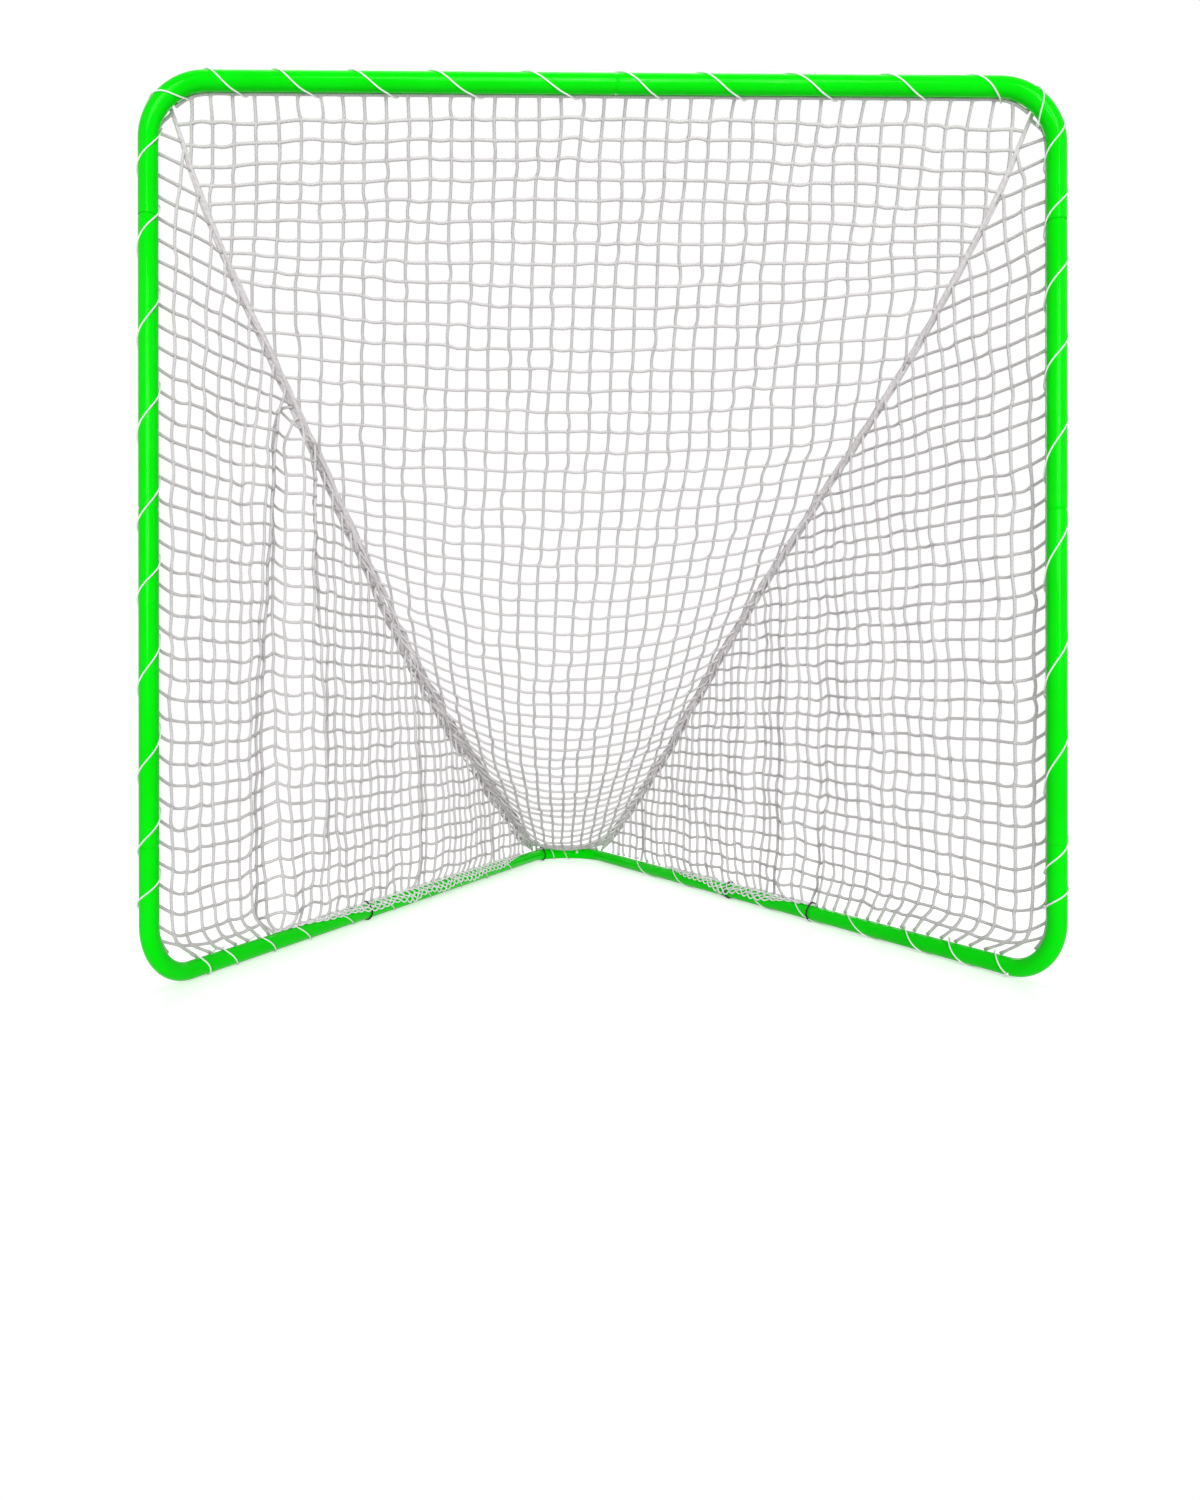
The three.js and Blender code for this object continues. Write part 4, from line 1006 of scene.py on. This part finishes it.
def net_object(name, weave, node_name):
    cords = Cords(NET_SIDES)
    for nodes in weave.strands:
        line = weave.settled[nodes]
        fine = smooth_line(line, STRAND_STEPS)
        # Slack bars bow a little, mostly downwards
        gaps = np.linalg.norm(np.diff(line, axis=0), axis=1)
        rests = np.array([weave.rests[(a, b)] for a, b in zip(nodes, nodes[1:])])
        bow = np.sqrt(np.maximum(rests / np.maximum(gaps, TINY) - 1, 0) * BOW_SHARE) * gaps
        bow = np.minimum(bow, MOST_BOW * rests)
        way = unit(rng.normal(0, 1, (len(gaps), 3)) - (0, 0, BOW_DOWN))
        shares = np.tile(np.arange(STRAND_STEPS) / STRAND_STEPS, len(gaps))
        arch = 4 * shares * (1 - shares) * np.repeat(bow, STRAND_STEPS)
        fine[:-1] += np.repeat(way, STRAND_STEPS, axis=0) * arch[:, None]
        fine[:, 2] = np.maximum(fine[:, 2], NET_CORD_RADIUS + NET_FLOAT)
        swell = np.ones(len(fine))
        swell[::STRAND_STEPS] = KNOT_SWELL
        fuller = 1 + SLACK_SWELL * np.clip((fine[:, 1] + REAR_SHIFT) / GOAL_DEPTH, 0, 1)
        cords.add(fine, NET_CORD_RADIUS * swell * fuller)
    piece = cords.build(name, NET)
    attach(piece, "root")
    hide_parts(node_name)


net_object("net_back", back_panel(), "net_back_panel")

# Side panels: columns stand on the legs and hang from the ridges. Folds: place at the foot and at the
# ridge, the net taken up in the fold, and how far it stands inwards
SIDE_FOLDS = {
    -1: [(0.32, 0.45, 0.10, 0.034), (0.97, 0.98, 0.03, 0.03)],
    1: [(0.42, 0.44, 0.01, 0.012), (0.66, 0.68, 0.04, 0.03), (0.90, 0.93, 0.04, 0.03)],
}
FOLD_REACH = 0.022
FOLD_LEAN = 1.8
FOLD_POWER = 0.7
SIDE_PITCH = 42.5 * MM
SIDE_LOOSENESS = 0.015
SIDE_BULGE = 0.02
SIDE_RUMPLE = {-1: 5 * MM, 1: 4 * MM}
LAST_COLUMNS_LEFT_OUT = 2
SIDE_FINE_STEPS = 4000
FOOT_START = 0.02
LEAST_UP_END = 0.3
LEAST_ROW_END = 4 * MM
POST_END_GAP = 12 * MM
CORNER_TOP = BASE_AXIS_HEIGHT + CORNER_BEND_RADIUS
POST_NET_TOP = TOP_AXIS_HEIGHT - CORNER_BEND_RADIUS * 0.6


def side_panel(side):
    weave = Weave()
    ridge = ridges[side]
    run = (ridge[-1] - ridge[0]) * (1, 1, 0)
    total = np.linalg.norm(run)
    inward = np.cross(run / total, (0, 0, 1.0)) * -side
    # Flat places against real places along the run, at the foot and at the ridge
    fine = np.linspace(0, total, SIDE_FINE_STEPS)
    flats = []
    for end in range(2):
        flat = fine.copy()
        for *at, taken, _ in SIDE_FOLDS[side]:
            flat += taken / (1 + np.exp(-(fine - at[end]) / (FOLD_REACH / 2)))
        flats.append(flat - flat[0])
    count = int(flats[0][-1] / SIDE_PITCH)
    last_column = count - LAST_COLUMNS_LEFT_OUT
    places = np.arange(count + 1) * SIDE_PITCH
    plan, crest_plan = (np.interp(places, flat, fine) for flat in flats)

    def border(distance):
        """A point of the net's border on the tubes. The right side mirrors the distance."""
        return route.beside(distance if side < 0 else route.length - distance, LEG_ANGLE, BORDER_OFFSET)[0]

    def foot(place):
        return border(LEG_FRONT + max(place - FOOT_START, 0.0) * (LEG_STRAIGHT / (total - FOOT_START)))

    def crest(place):
        return along_line(ridge, place / total)

    heights = np.array([crest(top)[2] - foot(place)[2] for top, place in zip(crest_plan, plan)])
    rows = int(heights[0] / SIDE_PITCH)

    def post_node(row):
        """A place of the first column, which lies along the post and round the bottom corner."""
        low = foot(0)[2]
        height = low + row * (crest(0)[2] - low - POST_END_GAP) / rows
        if height < CORNER_TOP:
            share = (height - low) / (CORNER_TOP - low)
            return border(LEG_FRONT - (1 + share) * QUARTER_BEND / 2)
        return border(POST_FOOT + CORNER_TOP - min(height, POST_NET_TOP))

    def guess(column, height):
        """Where a free node starts from."""
        share = height / heights[column]
        bottom, top_point = foot(plan[column]), crest(crest_plan[column])
        lean = share ** FOLD_LEAN
        point = bottom + (top_point - bottom) * (lean, lean, share)
        place = plan[column] + (crest_plan[column] - plan[column]) * lean
        depth = math.sin(math.pi * min(max(share, 0), 1)) ** FOLD_POWER
        wave = 0
        for low_at, high_at, _, stands in SIDE_FOLDS[side]:
            wave += stands * math.exp(-((place - low_at - (high_at - low_at) * lean) / FOLD_REACH) ** 2)
        return point + inward * (wave + SIDE_BULGE) * depth

    first = [weave.node(post_node(row), True) for row in range(rows + 1)]
    weave.strand(first, 1.0)
    grid_rows = {row: [(0.0, first[row])] for row in range(1, rows + 1)}
    for column in range(1, last_column + 1):
        nodes, ups = [weave.node(foot(plan[column]), True)], [0.0]
        for row in range(1, int((heights[column] - LEAST_UP_END * SIDE_PITCH) / SIDE_PITCH) + 1):
            nodes.append(weave.node(guess(column, row * SIDE_PITCH)))
            ups.append(row * SIDE_PITCH)
            grid_rows[row].append((places[column], nodes[-1]))
        nodes.append(weave.node(crest(crest_plan[column]), True))
        ups.append(heights[column])
        weave.strand(nodes, 1 + rng.uniform(0, SIDE_LOOSENESS), ups)
    for row, entries in grid_rows.items():
        # Each row ends on the ridge
        height = row * SIDE_PITCH
        last = np.flatnonzero(heights[:last_column + 1] > height)[-1]
        if last < last_column:
            drop = (heights[last] - height) / (heights[last] - heights[last + 1])
            end_place = places[last] + drop * (places[last + 1] - places[last])
            end_plan = crest_plan[last] + drop * (crest_plan[last + 1] - crest_plan[last])
            if end_place - entries[-1][0] > LEAST_ROW_END:
                entries.append((end_place, weave.node(crest(end_plan), True)))
        if len(entries) > 1:
            row_places, row_nodes = zip(*entries)
            weave.strand(list(row_nodes), 1 + rng.uniform(0, SIDE_LOOSENESS), row_places)
    weave.settle(steps=320, gravity=8e-6, bounce=0.95)
    weave.rumple(SIDE_RUMPLE[side])
    return weave


for side, word in SIDES.items():
    net_object(f"net_side_{word}", side_panel(side), f"net_side_panel_{word}")

# Hem of the side panels: spare net drawn together in diamonds and folded over the inner side of the
# legs. From where to where it lies, and at shares of that how far down it reaches, in degrees from the top
HEM_SPANS = {-1: (0.28, 1.72), 1: (0.62, 1.36)}
HEM_SHARES = (0, 0.08, 0.2, 0.35, 0.5, 0.7, 0.88, 1)
HEM_DEPTHS = {-1: (5, 28, 62, 95, 105, 100, 80, 10), 1: (4, 30, 62, 92, 104, 80, 45, 8)}
HEM_TOP = -18
HEM_STRANDS = 5
HEM_DIAMOND = 60 * MM
HEM_CORD_RADIUS = 2 * MM
HEM_STEP = 4 * MM
# How uneven it is in depth in degrees, in place and in swing in turns, and in lift: size, waves along it,
# and shift of the waves from strand to strand
HEM_DEPTH_WAVE = (9, 31, 1)
HEM_TURN_WAVE = (0.03, 47, 1)
HEM_SWING_WAVE = (0.05, 83, 2.1)
HEM_LIFT_WAVE = (5 * MM, 23, 1.7)
HEM_DEPTH_RISE = 4
HEM_MOST_SWING = 1.05
HEM_LAYERS = (2.2, 0.9)


def waves(run, number, size, rate, shift):
    return size * np.sin(run * rate + number * shift)


for side, word in SIDES.items():
    start, end = HEM_SPANS[side]
    run = np.arange(start, end, HEM_STEP)
    shares = (run - start) / (end - start)
    near_end = np.minimum(shares, 1 - shares)
    depths = np.interp(shares, HEM_SHARES, HEM_DEPTHS[side])
    depths += waves(run, side, *HEM_DEPTH_WAVE) * near_end * HEM_DEPTH_RISE
    cords = Cords(NET_SIDES)
    for number in range(HEM_STRANDS):
        turn = run / (HEM_DIAMOND * HEM_STRANDS / 2) + number / HEM_STRANDS
        turn += waves(run, number, *HEM_TURN_WAVE)
        swing = 2 * np.abs(turn % 1 - 0.5)
        swing = np.clip(swing + waves(run, number, *HEM_SWING_WAVE), 0, HEM_MOST_SWING)
        angles = LEG_ANGLE + np.radians(HEM_TOP + (depths - HEM_TOP) * swing)
        layer = HEM_LAYERS[0] + HEM_LAYERS[1] * np.sin(2 * math.pi * turn * HEM_STRANDS)
        loose = np.maximum(waves(run, number, *HEM_LIFT_WAVE), 0) * near_end
        distances = LEG_FRONT + run if side < 0 else route.length - LEG_FRONT - run
        line = route.beside(distances, angles, TUBE_RADIUS + HEM_CORD_RADIUS * layer + loose)
        line[:, 2] = np.maximum(line[:, 2], NET_CORD_RADIUS + NET_FLOAT)
        cords.add(line, HEM_CORD_RADIUS)
    piece = cords.build(f"net_hem_{word}", LACE)
    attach(piece, "root")

# Ridge ropes with the gathered strands that run beside them: how far these spread at the top, and how
# much more below
RIDGE_STRANDS = 14
RIDGE_CORD_RADIUS = NET_CORD_RADIUS * 0.95
RIDGE_SPREAD = {-1: (3 * MM, 21 * MM), 1: (4 * MM, 10 * MM)}
RIDGE_STRAND_TURNS = (5, 10)
RIDGE_FLATNESS = 0.4
RIDGE_FADE = 30
RIDGE_UNEVEN = 0.08
RIDGE_WAVES = 60

for side, word in SIDES.items():
    cords = Cords(ROUND_SIDES)
    line = ridges[side]
    shares = np.linspace(0, 1, len(line))
    cords.add(line, RIDGE_RADIUS * (1 - RIDGE_UNEVEN + RIDGE_UNEVEN * np.sin(shares * RIDGE_WAVES)))
    ups, sides = frames_along(line, np.broadcast_to((0, 0, 1.0), line.shape))
    narrow, growth = RIDGE_SPREAD[side]
    spread = narrow + growth * np.sin(math.pi / 2 * shares)
    fade = np.clip(np.minimum(shares, 1 - shares) * RIDGE_FADE, 0, 1)[:, None]
    for number in range(RIDGE_STRANDS):
        phase = rng.uniform(0, 2 * math.pi, 2)
        swing = 2 * math.pi * shares * rng.uniform(*RIDGE_STRAND_TURNS)
        across = spread * np.cos(swing + phase[0])
        up = spread * np.sin(swing + phase[1]) * RIDGE_FLATNESS
        cords.add(line + (sides * across[:, None] + ups * up[:, None]) * fade, RIDGE_CORD_RADIUS)
    piece = cords.build(f"ridge_{word}", ROPE)
    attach(piece, "root")
    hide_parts(f"ridge_rope_{word}")

# Elastic loops and their balls. Each loop steps over the net, and both its ends go into the ball
BUNGEE_ENTRY_ANGLE = 0.09
BUNGEE_POINTS = 64
BUNGEE_STEP_OVER = 2 * NET_CORD_RADIUS + 0.5 * MM
BUNGEE_STEP_ANGLE = 0.5
BUNGEE_RISE = 5 * MM
BUNGEE_RISE_ANGLE = 0.16
BUNGEE_INSIDE = 4 * MM
BUNGEE_FLOOR_GAP = 0.3 * MM
ROUTE_POINTS = 40001
BALL_STEPS = 25
BALL_SIDES = 40

fine = np.linspace(0, route.length, ROUTE_POINTS)
angles = np.linspace(BUNGEE_ENTRY_ANGLE, 2 * math.pi - BUNGEE_ENTRY_ANGLE, BUNGEE_POINTS)
entry = np.minimum(angles, 2 * math.pi - angles)
heights = TUBE_RADIUS + LACE_CLEARANCE + BUNGEE_RADIUS
heights = heights + BUNGEE_STEP_OVER * np.exp(-((angles - math.pi / 2) / BUNGEE_STEP_ANGLE) ** 2)
heights += BUNGEE_RISE * np.exp(-(entry / BUNGEE_RISE_ANGLE) ** 2)
sweep = np.linspace(-math.pi / 2, math.pi / 2, BALL_STEPS)[1:-1]
ball_outline = [
    (0, -BUNGEE_BALL_RADIUS),
    *((BUNGEE_BALL_RADIUS * math.cos(a), BUNGEE_BALL_RADIUS * math.sin(a)) for a in sweep),
    (0, BUNGEE_BALL_RADIUS),
]
for name in ("left", "rear", "right_rear", "right_front"):
    low_corner, high_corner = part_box(f"bungee_ball_{name}")
    centre = np.array((low_corner + high_corner) / 2)
    distance = fine[np.linalg.norm(route.at(fine)[0] - centre, axis=1).argmin()]
    out = route.direction(distance, BASE_BUTTON_ANGLE)[0]
    ball_centre = route.point(distance) + out * np.linalg.norm(centre - route.point(distance))
    inside = ball_centre - out * BUNGEE_INSIDE
    loop = route.beside(np.full(BUNGEE_POINTS, distance), BASE_BUTTON_ANGLE + angles, heights)
    cords = Cords(ROUND_SIDES)
    cords.add(np.concatenate([[inside], loop, [inside]]), BUNGEE_RADIUS)
    piece = cords.build(f"bungee_{name}_elastic", ELASTIC)
    keep_above_floor(piece, BUNGEE_FLOOR_GAP)
    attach(piece, "root")
    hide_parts(f"bungee_loop_{name}")
    piece = turned_body(f"bungee_{name}_knob", ball_outline, BALL_SIDES, BALL)
    place = placed(distance, BASE_BUTTON_ANGLE)
    place.translation = Vector(ball_centre)
    piece.data.transform(place)
    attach(piece, "root")
    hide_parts(f"bungee_ball_{name}")

# Stage: white floor, a soft sun, and lamps above and around the goal
FLOOR_HALF = 30.0
FLOOR_FADE = (1.2, 2.4)
FLOOR_LIFT = 0.46
AMBIENT = 0.16
SUN_STRENGTH = 1.6
SUN_ANGLE = math.radians(28)
SUN_WAY = (-0.06, 1, -0.22)
# Area lamps: place, target, width, height, watts
LAMPS = {
    "top": ((0, 0, 4.2), (0, 0, 0), 3.0, 3.0, 55),
    "front": ((-0.1, -3.5, 1.5), (0, 0, 0.8), 0.9, 0.9, 15),
    "left": ((-3.6, -1.6, 1.8), (0.3, 0, 0.6), 1.4, 2.4, 5),
    "right": ((3.8, -1.4, 1.8), (-0.3, 0, 0.6), 1.4, 2.4, 5),
    "rear": ((0.6, 4.4, 2.6), (0, 0, 0.7), 2.4, 1.6, 30),
    "streak_left": ((0.1, -3.5, 2.2), (-0.9, -0.9, 1.3), 0.06, 0.8, 8),
    "streak_right": ((0.7, -3.5, 1.7), (0.9, -0.9, 1.1), 0.06, 0.6, 7),
}


def new_lamp(name, kind, strength, way):
    lamp = bpy.data.lights.new(name, kind)
    lamp.energy = strength
    light = bpy.data.objects.new(name, lamp)
    light.rotation_euler = way.to_track_quat("-Z", "Y").to_euler()
    scene.collection.objects.link(light)
    return light


def seen_rays(tree):
    """1 on the rays that show the surroundings, straight to the camera or by way of metal and glass."""
    path = put(tree, "LightPath").outputs
    seen = maths(tree, "MAXIMUM", path["Is Camera Ray"], path["Is Glossy Ray"])
    return maths(tree, "MAXIMUM", seen, path["Is Transmission Ray"])


def floor_white():
    """White floor that keeps the shadows near the goal and fades to plain white further off."""
    material, tree, shader = new_material("floor_white", (0.9, 0.9, 0.9, 1), roughness=0.35)
    shader.inputs["Specular IOR Level"].default_value = 0.3
    place = put(tree, "TexCoord").outputs["Object"]
    far = put(tree, "VectorMath", {0: place}, operation="LENGTH").outputs["Value"]
    reach = {"Value": far, "From Min": FLOOR_FADE[0], "From Max": FLOOR_FADE[1]}
    fade = put(tree, "MapRange", reach, interpolation_type="SMOOTHSTEP").outputs["Result"]
    seen = seen_rays(tree)
    lift = put(tree, "Emission", {"Color": seen, "Strength": FLOOR_LIFT}).outputs["Emission"]
    lifted = put(tree, "AddShader", {0: shader.outputs["BSDF"], 1: lift}).outputs["Shader"]
    plain = put(tree, "Emission", {"Color": WHITE}).outputs["Emission"]
    choice = put(tree, "MixShader", {0: maths(tree, "MULTIPLY", fade, seen), 1: lifted, 2: plain})
    tree.links.new(choice.outputs["Shader"], tree.nodes["Material Output"].inputs["Surface"])
    return material


corners = [(x * FLOOR_HALF, y * FLOOR_HALF, 0) for x, y in ((-1, -1), (1, -1), (1, 1), (-1, 1))]
floor = mesh_object("floor", corners, [(0, 1, 2, 3)], floor_white())

sun = new_lamp("key", "SUN", SUN_STRENGTH, Vector(SUN_WAY))
sun.data.angle = SUN_ANGLE
for name, (place, target, width, height, watts) in LAMPS.items():
    light = new_lamp(name, "AREA", watts, Vector(target) - Vector(place))
    light.location = place
    light.data.shape = "RECTANGLE"
    light.data.size = width
    light.data.size_y = height

world = bpy.data.worlds.new("surroundings")
scene.world = world
world.use_nodes = True
tree = world.node_tree
tree.nodes.clear()
seen, ambient = (
    put(tree, "Background", {"Color": WHITE, "Strength": strength}).outputs["Background"]
    for strength in (1.0, AMBIENT)
)
choice = put(tree, "MixShader", {0: seen_rays(tree), 1: ambient, 2: seen}).outputs["Shader"]
put(tree, "OutputWorld", {"Surface": choice})

# Camera: the view fitted to the photograph, 1200 by 1500 pixels
FOCAL_PIXELS = 1033.4
PRINCIPAL = (537.4, 715.1)
PICTURE = (1200, 1500)
SENSOR_WIDTH = 36
CAMERA_PLACE = (-163.4 * MM, -2035.2 * MM - REAR_SHIFT, 548.6 * MM)
CAMERA_TURNS = ((-0.81, "Z"), (90 - 0.05, "X"), (-0.06, "Z"))
CAMERA_REACH = 200
camera_data = bpy.data.cameras.new("camera")
camera_data.sensor_width = SENSOR_WIDTH
camera_data.sensor_fit = "AUTO"
camera_data.lens = FOCAL_PIXELS / PICTURE[1] * SENSOR_WIDTH
camera_data.shift_x = (PICTURE[0] / 2 - PRINCIPAL[0]) / PICTURE[1]
camera_data.shift_y = (PRINCIPAL[1] - PICTURE[1] / 2) / PICTURE[1]
camera_data.clip_end = CAMERA_REACH
camera = bpy.data.objects.new("camera", camera_data)
scene.collection.objects.link(camera)
view = Matrix.Translation(CAMERA_PLACE)
for degrees, axis in CAMERA_TURNS:
    view = view @ Matrix.Rotation(math.radians(degrees), 4, axis)
camera.matrix_world = view
scene.camera = camera
scene.view_settings.view_transform = "Standard"
